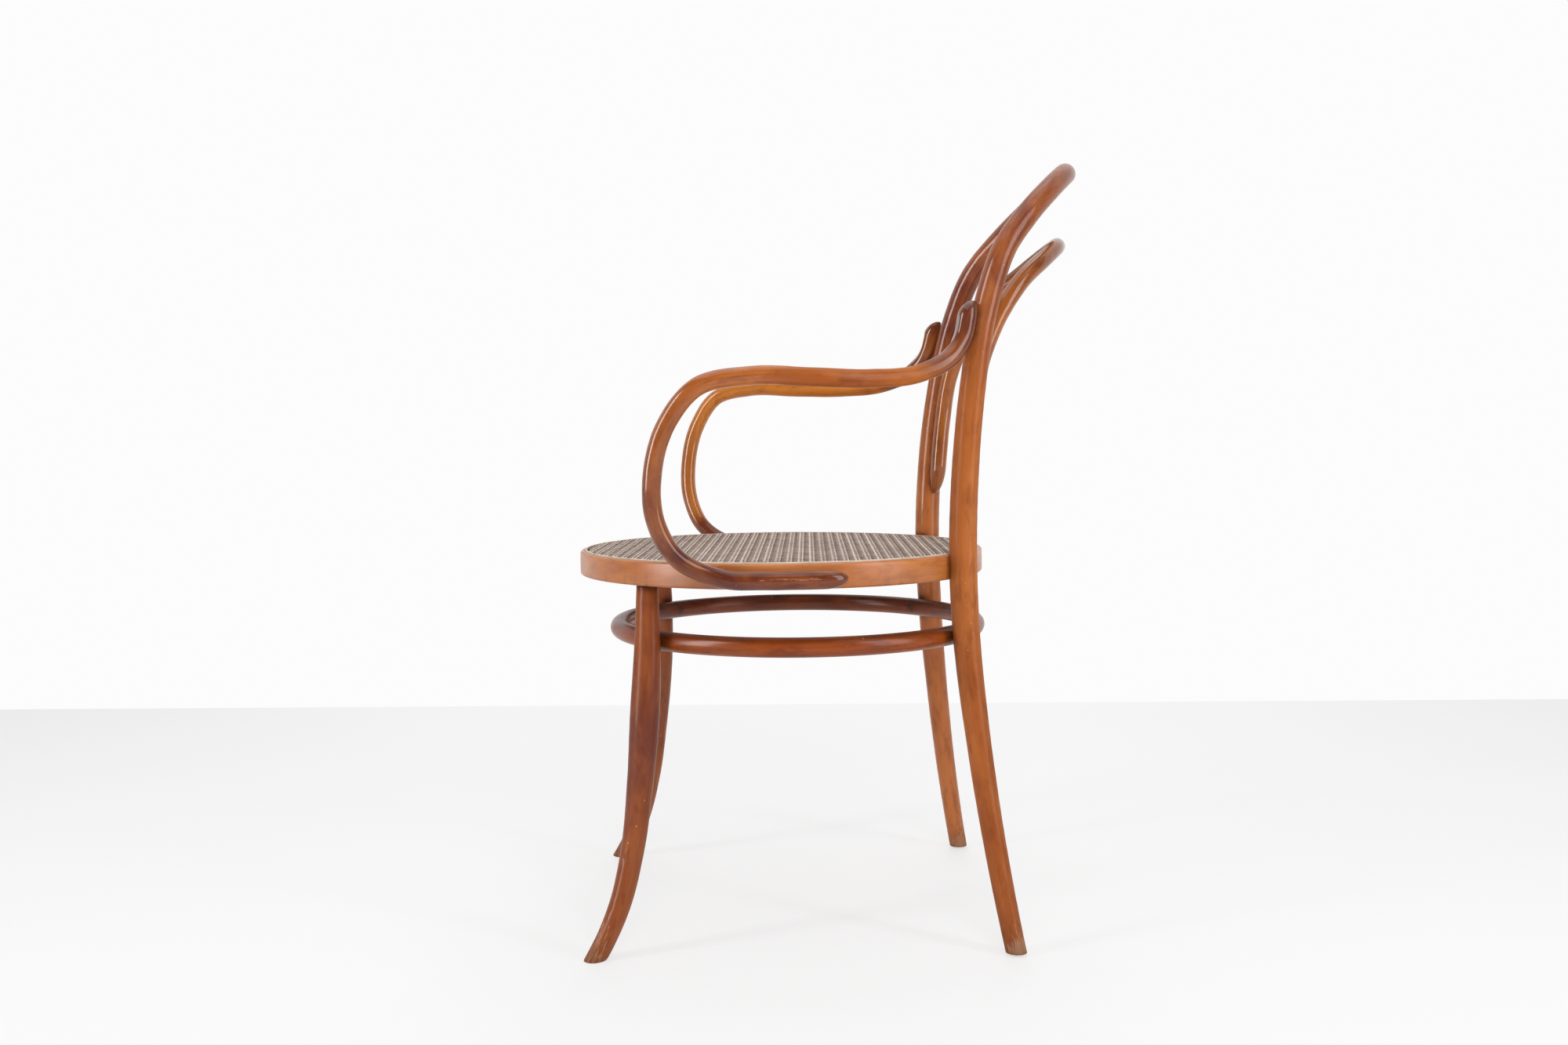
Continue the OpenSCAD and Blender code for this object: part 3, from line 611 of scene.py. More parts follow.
class Build:
    """Short words for making the nodes of a material or a world."""

    def __init__(self, owner):
        self.owner = owner
        owner.use_nodes = True
        self.tree = owner.node_tree
        self.shader = self.tree.nodes.get("Principled BSDF")

    def put(self, node, inputs):
        for name, value in inputs.items():
            if isinstance(value, bpy.types.NodeSocket):
                self.tree.links.new(value, node.inputs[name])
            else:
                node.inputs[name].default_value = value

    def add(self, kind, inputs=None, **fields):
        node = self.tree.nodes.new("ShaderNode" + kind)
        for key, value in fields.items():
            setattr(node, key, value)
        self.put(node, inputs or {})
        return node

    def attribute(self, name, out="Fac"):
        return self.add("Attribute", attribute_name=name).outputs[out]

    def place(self):
        return self.add("TexCoord").outputs["Object"]

    def scaled(self, vector, scale, offset):
        node = self.add("Mapping", {"Vector": vector, "Scale": scale, "Location": offset})
        return node.outputs["Vector"]

    def noise(self, vector, scale, detail=3.0, rough=0.5, offset=(0, 0, 0), distortion=0.0):
        """Noise whose scale is given per metre, each way."""
        return self.add("TexNoise", {"Vector": self.scaled(vector, scale, offset), "Scale": 1.0,
                                     "Detail": detail, "Roughness": rough,
                                     "Distortion": distortion}).outputs["Fac"]

    def cells(self, vector, scale, offset=(0, 0, 0)):
        vector = self.scaled(vector, scale, offset)
        return self.add("TexVoronoi", {"Vector": vector, "Scale": 1.0}).outputs["Distance"]

    def fit(self, value, low, high, to_low=0.0, to_high=1.0):
        return self.add("MapRange", {"Value": value, "From Min": low, "From Max": high,
                                     "To Min": to_low, "To Max": to_high},
                        interpolation_type="SMOOTHSTEP").outputs["Result"]

    def sum(self, kind, a, b):
        return self.add("Math", {0: a, 1: b}, operation=kind).outputs[0]

    def times(self, a, b):
        return self.sum("MULTIPLY", a, b)

    def plus(self, a, b, share=1.0):
        return self.sum("ADD", a, self.times(b, share))

    def minus(self, a, b, share):
        return self.sum("SUBTRACT", a, self.times(b, share))

    def blend(self, share, a, b):
        return self.add("Mix", {0: share, 6: a, 7: b}, data_type="RGBA", blend_type="MIX").outputs[2]

    def cover(self, colour, tone, mask, share):
        """The colour, drawn towards a tone by a share where a mask is 1."""
        return self.blend(self.times(mask, share), colour, tone)

    def tint(self, colour, tone, value, low, high, share):
        """The same where a pattern goes from low to high."""
        return self.cover(colour, tone, self.fit(value, low, high), share)

    def bump(self, height, distance, strength, normal=None):
        inputs = {"Strength": strength, "Distance": distance, "Height": height}
        if normal is not None:
            inputs["Normal"] = normal
        return self.add("Bump", inputs).outputs["Normal"]

    def mix_shaders(self, share, first, second):
        return self.add("MixShader", {0: share, 1: first, 2: second}).outputs[0]

    def surface(self, colour, rough, normal, more=()):
        """Sets the shader's inputs and gives the material."""
        inputs = {"Base Color": colour, "Roughness": rough, "Normal": normal}
        inputs.update(more)
        self.put(self.shader, inputs)
        return self.owner


def new_material(name):
    return Build(bpy.data.materials.new(name))


def wood_figure(b, grain, wood_tones):
    """The beech's own colour under the varnish, with its grain, its stains, painted shade carried in the
    same mark, and short dark rays.
    """
    base, light, dark, deep = wood_tones
    broad = b.noise(grain, (26, 26, 7), 3, 0.55, distortion=0.5)
    mottle = b.noise(grain, (90, 90, 30), 3, 0.6, (5, 1, 3), 0.3)
    streak = b.noise(grain, (260, 260, 9), 4, 0.6, (1, 8, 2), 0.6)
    fine = b.noise(grain, (1100, 1100, 40), 3, 0.6, (2, 2, 7))
    colour = b.blend(b.fit(broad, 0.34, 0.66), base, light)
    colour = b.tint(colour, dark, mottle, 0.46, 0.72, 0.42)
    colour = b.tint(colour, dark, streak, 0.45, 0.75, 0.26)
    colour = b.tint(colour, dark, fine, 0.5, 0.75, 0.08)
    cloud = b.noise(grain, (40, 40, 14), 3, 0.6, (3, 1, 2), 0.4)
    # This mark is real staining, and also painted shade on parts that lie under the seat
    stain = b.times(b.attribute("stain"), b.fit(cloud, 0.3, 0.7, 0.62, 1.25))
    colour = b.blend(b.sum("MINIMUM", stain, 1.0), colour, deep)
    mask = b.noise(grain, (60, 60, 30), 2, 0.5, (5, 2, 8))
    ray = b.times(b.fit(b.cells(grain, (760, 760, 190)), 0.26, 0.1), b.fit(mask, 0.42, 0.62))
    return b.cover(colour, dark, ray, 0.08), streak, fine, ray


def wood_damage(b, grain, colour, dings):
    """Small knocks, worn places, and the soiling and painted shade in the joints and where parts touch.
    """
    area = b.noise(grain, (16, 16, 8), 2, 0.5, (9, 4, 1))
    knock = b.cells(grain, (95, 95, 80), (0.4, 0.1, 0.2))
    knock = b.times(b.times(b.fit(knock, 0.085, 0.045), b.fit(area, 0.5, 0.62)), dings)
    colour = b.cover(colour, rgb(222, 166, 118), knock, 0.6)
    spot = b.cells(grain, (130, 130, 100), (0.7, 0.3, 0.9))
    spot = b.times(b.fit(spot, 0.08, 0.04), b.fit(area, 0.44, 0.32))
    colour = b.cover(colour, rgb(58, 28, 18), spot, 0.8)
    worn = b.attribute("worn")
    scrape = b.noise(grain, (420, 420, 90), 4, 0.65, (2, 7, 5))
    bare = b.times(b.fit(b.plus(scrape, worn, 0.62), 0.72, 0.96), b.fit(worn, 0.0, 0.12))
    colour = b.cover(colour, rgb(194, 152, 122), bare, 0.62)
    dirt_and_shade = b.noise(grain, (150, 150, 40), 4, 0.6, (1, 3, 2))
    dirt_and_shade = b.times(b.attribute("grime"), b.fit(dirt_and_shade, 0.2, 0.7, 0.5, 1.0))
    # Darkest where the mark is high: soiling, and painted shade in the joints and where parts touch
    return b.cover(colour, rgb(42, 23, 16), dirt_and_shade, 0.78), knock, bare, dirt_and_shade


def wood(name, wood_tones, rough, coat_rough, place, dings=1.0, bent=True):
    """Aged varnished beech, whose grain follows the rod as if it had never been bent."""
    b = new_material(name)
    grain = b.attribute("grain", "Vector") if bent else b.place()
    grain = b.scaled(grain, (1, 1, 1), (place, place * 0.7, place * 3.1))
    colour, streak, fine, ray = wood_figure(b, grain, wood_tones)
    colour, knock, bare, dirt_and_shade = wood_damage(b, grain, colour, dings)
    dull = b.fit(b.noise(grain, (70, 70, 18), 3, 0.5, (6, 6, 6)), 0.3, 0.7, rough - 0.06, rough + 0.1)
    dull = b.plus(b.plus(dull, bare, 0.25), dirt_and_shade, 0.25)
    polish = b.fit(b.noise(grain, (45, 45, 20), 3, 0.5, (8, 2, 5)), 0.3, 0.7, 0.75, 1.1)
    polish = b.minus(b.times(b.attribute("gloss"), polish), bare, 0.8)
    height = b.plus(b.times(streak, 0.4), fine, 0.3)
    height = b.minus(b.minus(b.minus(height, knock, 1.2), ray, 0.1), bare, 0.5)
    waves = b.bump(b.noise(grain, (30, 30, 16), 2, 0.5, (4, 4, 4)), 0.0010, 0.5)
    coat = {"Coat Weight": b.sum("MAXIMUM", polish, 0.0), "Coat Roughness": coat_rough,
            "Coat Normal": b.bump(knock, 0.00005, 0.5, waves), "Specular IOR Level": 0.08}
    return b.surface(colour, dull, b.bump(height, 0.00005, 0.7, waves), coat)


def cane_material(name, pale, mid, dark):
    """Greyed cane: strands one way paler by a painted reflection of the bright wall, the others browner,
    stained in patches.
    """
    b = new_material(name)
    fibre = b.noise(b.attribute("grain", "Vector"), (2600, 2600, 60), 3, 0.6)
    patches = b.noise(b.place(), (46, 46, 46), 4, 0.6)
    colour = b.blend(b.attribute("kind"), pale, mid)
    colour = b.tint(colour, dark, b.attribute("tone"), 0.0, 1.0, 0.5)
    colour = b.tint(colour, dark, fibre, 0.45, 0.75, 0.35)
    colour = b.tint(colour, dark, patches, 0.45, 0.75, 0.4)
    return b.surface(colour, b.fit(fibre, 0.3, 0.7, 0.4, 0.6), b.bump(fibre, 0.00008, 0.7),
                     {"Specular IOR Level": 0.3})


def steel_material(name):
    """Old steel, dull and rusty in patches."""
    b = new_material(name)
    where = b.place()
    rust = b.noise(where, (420, 420, 420), 4, 0.6)
    scratch = b.noise(where, (2500, 300, 300), 2)
    colour = b.blend(b.fit(rust, 0.45, 0.7), rgb(60, 54, 48), rgb(54, 34, 24))
    colour = b.tint(colour, rgb(104, 99, 94), scratch, 0.55, 0.75, 0.4)
    return b.surface(colour, b.fit(rust, 0.3, 0.7, 0.34, 0.7), b.bump(rust, 0.00015, 0.6),
                     {"Metallic": b.fit(rust, 0.45, 0.7, 0.9, 0.25)})


def bare_wood_material(name):
    """Unvarnished beech of the hidden dowels."""
    b = new_material(name)
    line = b.noise(b.place(), (900, 900, 120), 3, 0.6)
    colour = b.blend(b.fit(line, 0.35, 0.7), rgb(206, 168, 122), rgb(158, 112, 70))
    return b.surface(colour, b.fit(line, 0.3, 0.7, 0.5, 0.7), b.bump(line, 0.0001, 0.6))


# Each wood's base, light, dark and deep tones
BACK_TONES = tones((177, 99, 46), (196, 116, 57), (121, 57, 26), (112, 47, 23))
INNER_TONES = tones((152, 82, 30), (174, 98, 38), (92, 42, 18), (88, 38, 16))
ARM_TONES = tones((168, 88, 34), (190, 108, 40), (100, 42, 20), (90, 36, 20))
FAR_ARM_TONES = tones((182, 104, 36), (202, 122, 44), (118, 56, 22), (110, 48, 22))
LEG_TONES = tones((148, 77, 35), (170, 94, 46), (90, 40, 22), (104, 47, 31))
STRETCHER_TONES = tones((130, 56, 14), (152, 72, 20), (76, 30, 12), (70, 28, 12))
RING_TONES = tones((184, 106, 46), (204, 126, 62), (138, 72, 34), (152, 74, 34))

WOOD_BACK = wood("varnished_back", BACK_TONES, 0.5, 0.18, 0.3)
WOOD_INNER = wood("varnished_inner_hoop", INNER_TONES, 0.36, 0.09, 1.7)
WOOD_ARM = wood("varnished_arm", ARM_TONES, 0.46, 0.12, 2.9)
WOOD_FAR_ARM = wood("varnished_far_arm", FAR_ARM_TONES, 0.36, 0.07, 8.3)
WOOD_LEG = wood("varnished_leg", LEG_TONES, 0.5, 0.2, 4.1, dings=1.4)
WOOD_STRETCHER = wood("varnished_stretcher", STRETCHER_TONES, 0.46, 0.2, 5.3)
WOOD_RING = wood("satin_seat_ring", RING_TONES, 0.52, 0.3, 6.7)
WOOD_PLUG = wood("varnished_plug", BACK_TONES, 0.42, 0.3, 7.9, bent=False)
# The pale tone is a painted reflection of the bright wall on the strands along x
CANE = cane_material("woven_cane", *tones((246, 240, 230), (170, 144, 128), (92, 70, 60)))
# The binding's pale tone is its own colour brightened into a painted highlight on its rounded top
CANE_BINDING = cane_material("binding_cane", *tones((232, 210, 188), (150, 112, 82), (66, 42, 30)))
STEEL = steel_material("aged_steel")
BARE_WOOD = bare_wood_material("bare_dowel")


def paint(obj, material):
    obj.data.materials.clear()
    obj.data.materials.append(material)


def dress(obj, material, slot, *nodes):
    paint(obj, material)
    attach(obj, "root")
    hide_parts(*nodes)


# Marks: how worn, soiled, stained and glossy the varnish is at each point, with painted shade in the
# joints and under the seat, and a painted highlight on the seat ring's top edge

def varnish(points, worn, grime, stain, gloss):
    values = {"worn": worn, "grime": grime, "stain": stain, "gloss": gloss}
    return {key: np.zeros(len(points)) + value for key, value in values.items()}


def add_grime_and_shade(points, grime, share, reach, *places):
    """The mark of soiling and painted shade, with more of it round a few places."""
    for place in places:
        grime = np.maximum(grime, share * near(points, place, reach))
    return grime


def both_sides(place):
    return place, place * [-1, 1, 1]


def stretcher_joint(angle):
    return spoke(angle, STRETCHER_OUTSIDE, STRETCHER_Y, STRETCHER_Z)


def near_side_of(points):
    """1 on the sitter's left, which is nearer to the camera, and 0 on the right."""
    return smooth(points[:, 0], -60, 60)


# The back: one rod for both rear legs, both uprights and the outer hoop

def back_shape(points, line, radii, way, s):
    """The notch that seats each upright on the ring."""
    out = points.copy()
    z = out[..., 2]
    away = from_middle(out)
    limit = SEAT_RADIUS + TOUCH
    inside = (z > UNDERSIDE - TOUCH) & (z < SEAT_HEIGHT + TOUCH) & (away < limit)
    out[..., :2] *= np.where(inside, limit / np.maximum(away, 1), 1.0)[..., None]
    return out


def back_marks(points, s, total):
    z = points[:, 2]
    worn = 0.5 * fade(z, 4, 30) + 0.45 * fade(z, 20, 110) * smooth(points[:, 1], 245, 262)
    bolt = spoke(UPRIGHT_ANGLE, SEAT_RADIUS - 2, 0, BOLT_Z)
    # Darker at the feet (soiling), and round the joints and where the arms and inner hoop lie against it
    # (painted shade with some soiling)
    grime = add_grime_and_shade(points, 0.55 * fade(z, 0, 46), 0.8, 32, *both_sides(bolt))
    grime = add_grime_and_shade(points, grime, 0.85, 23, *both_sides(stretcher_joint(STRETCHER_REAR)))
    arm_heights = between(ARM_RUN_Z, ARM_TOP_Z, (0.72, 0.85, 1.0))
    hoop_heights = np.linspace(INNER_END_Z, INNER_LEAVE_Z, 5)
    for heights, angle, share, reach in ((arm_heights, -ARM_SIDE, 0.8, 13),
                                         (hoop_heights, 180 - INNER_SIDE, 0.6, 12)):
        for height in heights:
            places = turned(both_sides(beside(height, angle, 0)))
            grime = add_grime_and_shade(points, grime, share, reach, *places)
    near_side = near_side_of(points)
    stain = 0.1 + 0.66 * smooth(z, 620, 790)
    stain += 0.24 * (1 - near_side) * window(z, 560, 640, 760, 860)
    stain += near_side * (0.24 * fade(z, 330, 430) + 0.14 * fade(z, 90, 240))
    gloss = 0.12 + 0.45 * (1 - near_side) + 0.55 * smooth(z, 620, 800)
    return varnish(points, worn, grime, stain, np.minimum(gloss, 0.95))


def make_back():
    line, radii = foot_cut(turned(BACK_LINE), BACK_RADII)
    line, radii = foot_cut(line[::-1], radii[::-1])
    back = rod("back_hoop_and_rear_legs", line[::-1], radii[::-1], 44, 7, 11, back_marks,
               back_shape, (0.0,))
    dress(back, WOOD_BACK, "rod_wood", "back_frame")


# Tapered ends: each rod's end leans towards the upright that it lies against

def taper_share(along, length):
    return math.sqrt(max(0.02, 1 - (1 - max(along, 0.3) / length) ** 2))


def towards_upright(middle, way, side):
    """The direction to an upright's middle at the same height, square to the rod."""
    toward = turned(upright_at(middle[2]) * [side, 1, 1]) - middle
    return unit(toward - (toward @ way) * way)


def shrink_ring(ring, middle, radius, want, shift):
    return middle + shift + (ring - middle) * (want / max(radius, 1e-6))


# The inner hoop, whose ends lie against the uprights

def inner_taper(points, line, radii, way, s):
    out = points.copy()
    for i, middle in enumerate(line):
        along = min(s[i], s[-1] - s[i])
        if along < INNER_TAPER:
            want = min(radii[i], INNER_R * taper_share(along, INNER_TAPER))
            toward = towards_upright(middle, way[i], np.sign(middle[0]))
            out[i] = shrink_ring(points[i], middle, radii[i], want, toward * (INNER_R - want) * 0.85)
    return out


def inner_marks(points, s, total):
    # Darker towards both ends, where they lie against the uprights: painted shade with some soiling
    grime = 0.25 * fade(np.minimum(s, total - s), 2, 16)
    stain = 0.06 + 0.34 * smooth(points[:, 2], 720, 820)
    return varnish(points, 0, grime, stain, 0.9)


def make_inner_hoop():
    line, radii = round_tips(*inner_curve())
    inner = rod("inner_hoop_rod", line, radii, 36, 4, 23, inner_marks, inner_taper, apex=TIP_POINT)
    dress(inner, WOOD_INNER, "rod_wood", "inner_hoop")


# The front legs

def leg_marks(points, s, total):
    z = points[:, 2]
    front = smooth(-points[:, 1], 190, 225) * fade(z, 60, 150)
    worn = np.maximum(0.5 * fade(z, 3, 26), 0.55 * front)
    # Darker at the foot (soiling), and just under the seat ring and round the stretcher joint (painted
    # shade with some soiling)
    grime = np.maximum(0.85 * smooth(z, UNDERSIDE - 12, UNDERSIDE - 2), 0.5 * fade(z, 0, 34))
    grime = add_grime_and_shade(points, grime, 0.85, 23, *both_sides(stretcher_joint(-STRETCHER_FRONT)))
    stain = 0.3 + 0.5 * window(z, 120, 230, 260, 400)
    stain *= mix(0.4, 1.0, near_side_of(points))
    gloss = 0.34 - 0.16 * smooth(z, 300, 360) + 0.12 * smooth(-points[:, 0], 0, 60)
    return varnish(points, worn, grime, stain, gloss)


def leg_dents(line, radii, side):
    dents = []
    for height, turn, reach, depth in LEG_KNOCKS:
        i = int(np.argmin(np.abs(line[:, 2] - height)))
        out = heading(turn, side)
        dents.append((line[i] + out * radii[i], reach, -out * depth))
    return dents


def make_front_legs():
    for (word, side), seed in zip(SIDES, (31, 37)):
        line, radii = foot_cut(*leg_curve())
        line = line * [side, 1, 1]
        leg = rod("front_leg_rod_" + word, line, radii, 44, 2, seed, leg_marks,
                  levels=(0.0, UNDERSIDE), dents=leg_dents(line, radii, side))
        dress(leg, WOOD_LEG, "rod_wood", "front_leg_" + word)


# The arms

def arm_shape(side):
    """The flattened and tapered upper end, and the bullet-shaped lower end."""
    cut_way = unit(np.array(ARM_CUT_WAY) * [side, 1, 1])

    def shape(points, line, radii, way, s):
        out = points.copy()
        for i, middle in enumerate(line):
            want = radii[i]
            if s[i] < ARM_TOP_TAPER:
                want = min(want, ARM_END_R * taper_share(s[i], ARM_TOP_TAPER))
                shift = towards_upright(middle, way[i], side) * (ARM_END_R - want) * 0.6
                out[i] = shrink_ring(points[i], middle, radii[i], want, shift)
                middle = middle + shift
            if 6 < s[i] < 100:
                f = unit(cut_way - (cut_way @ way[i]) * way[i])
                flat = float(window(s[i], 14, 26, 52, 84))
                over = (out[i] - middle) @ f - mix(1.0, ARM_CUT_SHARE, flat) * want
                out[i] -= np.maximum(over, 0)[:, None] * f[None, :]
            end = s[-1] - s[i]
            if end < ARM_END_TAPER:
                share = math.sqrt(max(0.0, 1 - (1 - max(end, 0.1) / ARM_END_TAPER) ** 2.4))
                want = min(radii[i], ARM_R * share)
                shift = np.array([0, 0, (ARM_R - want) * 0.2])
                out[i] = shrink_ring(points[i], middle, radii[i], want, shift)
        return out
    return shape


def arm_marks(points, s, total):
    end = total - s
    z = points[:, 2]
    low = fade(z, 470, 500)
    band = fade(np.abs(z - ARM_LOW_Z - 2), 0.6, 2.4)
    worn = 0.46 * band * window(end, 6, 30, 90, 150)
    # Darker where the lower run lies against the seat ring, and at both ends: painted shade with some
    # soiling
    grime = 0.8 * fade(from_middle(points), SEAT_RADIUS + 1, SEAT_RADIUS + 6) * low
    grime = np.maximum(grime, np.maximum(0.3 * fade(end, 2, 24), 0.4 * fade(s, 2, 14)))
    far_side = 1 - near_side_of(points)
    stain = 0.1 + (0.68 + 0.32 * far_side) * fade(s, 85, 140) + 0.78 * low
    stain += 0.4 * smooth(-points[:, 1], 100, 140) * (1 - low)
    gloss = 0.95 - 0.1 * low - 0.75 * window(s, 80, 130, 260, 330)
    return varnish(points, worn, grime, np.minimum(stain, 1), gloss)


def make_arms():
    for (word, side), seed, material in zip(SIDES, (41, 43), (WOOD_ARM, WOOD_FAR_ARM)):
        line, radii = round_tips(*arm_curve(side))
        arm = rod("arm_rod_" + word, line * [side, 1, 1], radii, 40, 4, seed, arm_marks,
                  arm_shape(side), apex=TIP_POINT)
        dress(arm, material, "rod_wood", "arm_" + word)


# The seat ring and the ring stretcher

def ring_marks(points):
    z = points[:, 2]
    away = from_middle(points)
    turn = np.degrees(np.arctan2(points[:, 1], np.abs(points[:, 0])))
    outside = smooth(away, SEAT_RADIUS - 4, SEAT_RADIUS - 1)
    low_edge = fade(np.abs(z - UNDERSIDE - 1.2), 0.4, 2.4) * outside
    # A pale line along the top edge: some wear, and a painted highlight on its rounding
    top_edge_wear_and_highlight = fade(np.abs(z - SEAT_HEIGHT + 1.2), 0.3, 2.2) * outside
    nicks = smooth(wave_noise(turn * 4.4, 17, 7, 0.02, 0.2), 0.12, 0.3)
    bolt = spoke(UPRIGHT_ANGLE, SEAT_RADIUS, 0, BOLT_Z)
    # Darker along the lower edge (soiling and nicks), and round the bolts, at the arm ends, on the inner
    # side under the cane and in a thin line beside the binding (painted shade with some soiling)
    grime = add_grime_and_shade(points, low_edge * (0.35 + 0.5 * nicks), 0.85, 25, *both_sides(bolt))
    by_arm = window(turn, -22, -12, 12, 16) * fade(np.abs(z - ARM_LOW_Z), 5, 11)
    inside = fade(away, RING_INNER + 1, RING_INNER + 8)
    gap_shade_by_binding = fade(np.abs(away - GROOVE_OUTSIDE - 0.8), 0.6, 2.6)
    for more in (0.6 * by_arm * smooth(away, SEAT_RADIUS - 2, SEAT_RADIUS), 0.2 * inside,
                 0.8 * gap_shade_by_binding * smooth(z, SEAT_HEIGHT - 2, SEAT_HEIGHT - 0.5)):
        grime = np.maximum(grime, more)
    # The inner side is darker still: painted shade under the cane
    return varnish(points, 0.5 * top_edge_wear_and_highlight, grime, 0.25 * inside + 0.16, 0.95)


def make_seat_ring():
    groove_inside = GROOVE_OUTSIDE - GROOVE_WIDTH
    floor = SEAT_HEIGHT - GROOVE_DEPTH
    profile = rounded([(RING_INNER, UNDERSIDE, 3.5), (SEAT_RADIUS, UNDERSIDE, 2.6),
                       (SEAT_RADIUS, SEAT_HEIGHT, 4.4), (GROOVE_OUTSIDE, SEAT_HEIGHT, 0.5),
                       (GROOVE_OUTSIDE, floor, 0), (groove_inside, floor, 0),
                       (groove_inside, SEAT_HEIGHT, 0.7), (RING_INNER, SEAT_HEIGHT, 4.0)])
    ring = lathe("seat_ring_wood", profile, 0.0, UPRIGHT_ANGLE, ring_marks, 0.15, 3)
    dress(ring, WOOD_RING, "ring_wood", "seat_ring")


def stretcher_marks(points):
    grime = np.zeros(len(points))
    # Darker round the leg joints (painted shade with some soiling) and round the screw heads (soiling)
    for angle in (STRETCHER_REAR, -STRETCHER_FRONT):
        head = spoke(angle, STRETCHER_RADIUS - STRETCHER_R, STRETCHER_Y, STRETCHER_Z)
        grime = add_grime_and_shade(points, grime, 0.9, 26, *both_sides(stretcher_joint(angle)))
        grime = add_grime_and_shade(points, grime, 0.8, 9, *both_sides(head))
    # Darker on its top and its inner side, which lie under the seat: painted shade
    stain = 0.5 * smooth(points[:, 2], STRETCHER_Z + 2, STRETCHER_Z + 10)
    stain += 0.6 * fade(from_middle(points, STRETCHER_Y), STRETCHER_RADIUS - 8, STRETCHER_RADIUS)
    return varnish(points, 0, grime, np.clip(stain, 0, 0.85), 0.55)


def make_stretcher():
    profile = [(STRETCHER_RADIUS + STRETCHER_R * math.cos(a), STRETCHER_Z + STRETCHER_R * math.sin(a))
               for a in full_turn(36)]
    ring = lathe("ring_stretcher_rod", profile, STRETCHER_Y, STRETCHER_REAR, stretcher_marks, 0.2, 5)
    dress(ring, WOOD_STRETCHER, "rod_wood", "stretcher_ring")


# The woven cane: pairs both ways, and two sets of single strands across the corners

PITCH = 13.0
PAIR = 2.0
STRAND_W = 2.1
STRAND_T = 0.55
DIAGONAL_W = 2.7
WEAVE_R = 245.2
WEAVE_EDGE = 242.6
WEAVE_Z = SEAT_HEIGHT + 0.95
PAIR_BEND = 1.25
CROSS_BEND = 3.0
RIM_REACH = 2.6
RIM_DROP = 0.42
SECTION = ((-1.0, -0.25), (-0.62, 0.75), (0.0, 1.0), (0.62, 0.75), (1.0, -0.25), (0.0, -0.8))
# How far each family's colour goes from the pale painted reflection towards the browner tone
REFLECTION_KINDS = {"x": 0.0, "y": 0.7, "d": 0.95, "e": 1.0}


def across_seat(c, step, overrun):
    """Places along a strand that runs c beside the seat's middle, from rim to rim."""
    reach = math.sqrt(WEAVE_R ** 2 - c * c)
    t = np.arange(-reach, reach + overrun, step)
    t[-1] = reach
    return t


def from_crossing(t):
    return (t / PITCH - np.round(t / PITCH)) * PITCH


def straight_strand(family, c, part):
    """A strand of a pair: over one strand of each crossing pair and under the other."""
    t = across_seat(c, PITCH / 8, PITCH / 16)
    along = np.stack([t, np.full_like(t, c)], 1)
    wave = np.zeros_like(t)
    for q in (-1, 1):
        wave += part * q * np.exp(-((from_crossing(t) - q * PAIR) / PAIR_BEND) ** 2)
    height = 0.22 + 0.3 * wave
    if family == "x":
        return along, np.array([1.0, 0.0]), height, t
    return along[:, ::-1], np.array([0.0, 1.0]), -height, t


def slanted_strand(family, c):
    """A single strand across the corners: over the pairs one way and under the others."""
    step = PITCH * math.sqrt(2) / 12
    t = across_seat(c, step, step / 2)
    way = unit(np.array([1.0, 1.0 if family == "d" else -1.0]))
    along = t[:, None] * way[None, :] + c * np.array([-way[1], way[0]])[None, :]
    by_y, by_x = np.exp(-(from_crossing(along) / CROSS_BEND) ** 2).T
    height = 0.55 * by_y - 0.75 * by_x if family == "d" else 0.9 * by_x - 0.85 * by_y
    return along, way, height, t


def strand_rows():
    """Each strand's family, its distance from the seat's middle and its place in a pair."""
    count = int(WEAVE_R // PITCH) + 1
    rows = []
    for i in range(-count, count + 1):
        for part in (-1, 1):
            rows += [(family, i * PITCH + part * PAIR, part) for family in "xy"]
    for i in range(-int(1.5 * count), int(1.5 * count) + 1):
        rows += [(family, (i + 0.5) * PITCH / math.sqrt(2), 0) for family in "de"]
    return rows


def strand_mesh(number, total, family, made, tone):
    """Points, faces, map, grain, kinds and tones of one flat strand with a rounded back."""
    along, way, height, t = made
    drop = np.maximum(0, np.linalg.norm(along, axis=1) - WEAVE_EDGE)
    height = height * (1 - np.clip(drop / RIM_REACH, 0, 1)) - drop ** 2 * RIM_DROP
    wander = 0.16 * wave_noise(t, 100 + number, 4, 0.004, 0.02)
    square = np.array([-way[1], way[0]])
    width = STRAND_W if family in "xy" else DIAGONAL_W
    half_w = width / 2 * (1 + 0.12 * wave_noise(t, 900 + number, 3, 0.004, 0.02))
    n = len(t)
    m = len(SECTION)
    index = np.arange(m * n).reshape(m, n)
    u = 0.005 + 0.99 * (t - t[0]) / (t[-1] - t[0]) * (t[-1] / WEAVE_R)
    verts = []
    grain = []
    quads = []
    uvs = []
    for k, (x, z) in enumerate(SECTION):
        p = along + square[None, :] * (x * half_w + wander)[:, None]
        verts.append(np.column_stack([p, WEAVE_Z + height + z * STRAND_T / 2]))
        grain.append(np.column_stack([np.full(n, x * width / 2000), np.full(n, number * 0.01), t / 1000]))
        a = index[k]
        b = index[(k + 1) % m]
        quads.append(np.column_stack([b[:-1], b[1:], a[1:], a[:-1]]))
        low = (number + 0.1 + 0.8 * k / m) / total
        high = (number + 0.1 + 0.8 * (k + 1) / m) / total
        uvs.append(map_corners((u[:-1], high), (u[1:], high), (u[1:], low), (u[:-1], low)))
    joined = [np.concatenate(part) for part in (verts, quads, uvs, grain)]
    return joined + [np.full(m * n, REFLECTION_KINDS[family]), np.full(m * n, tone)]


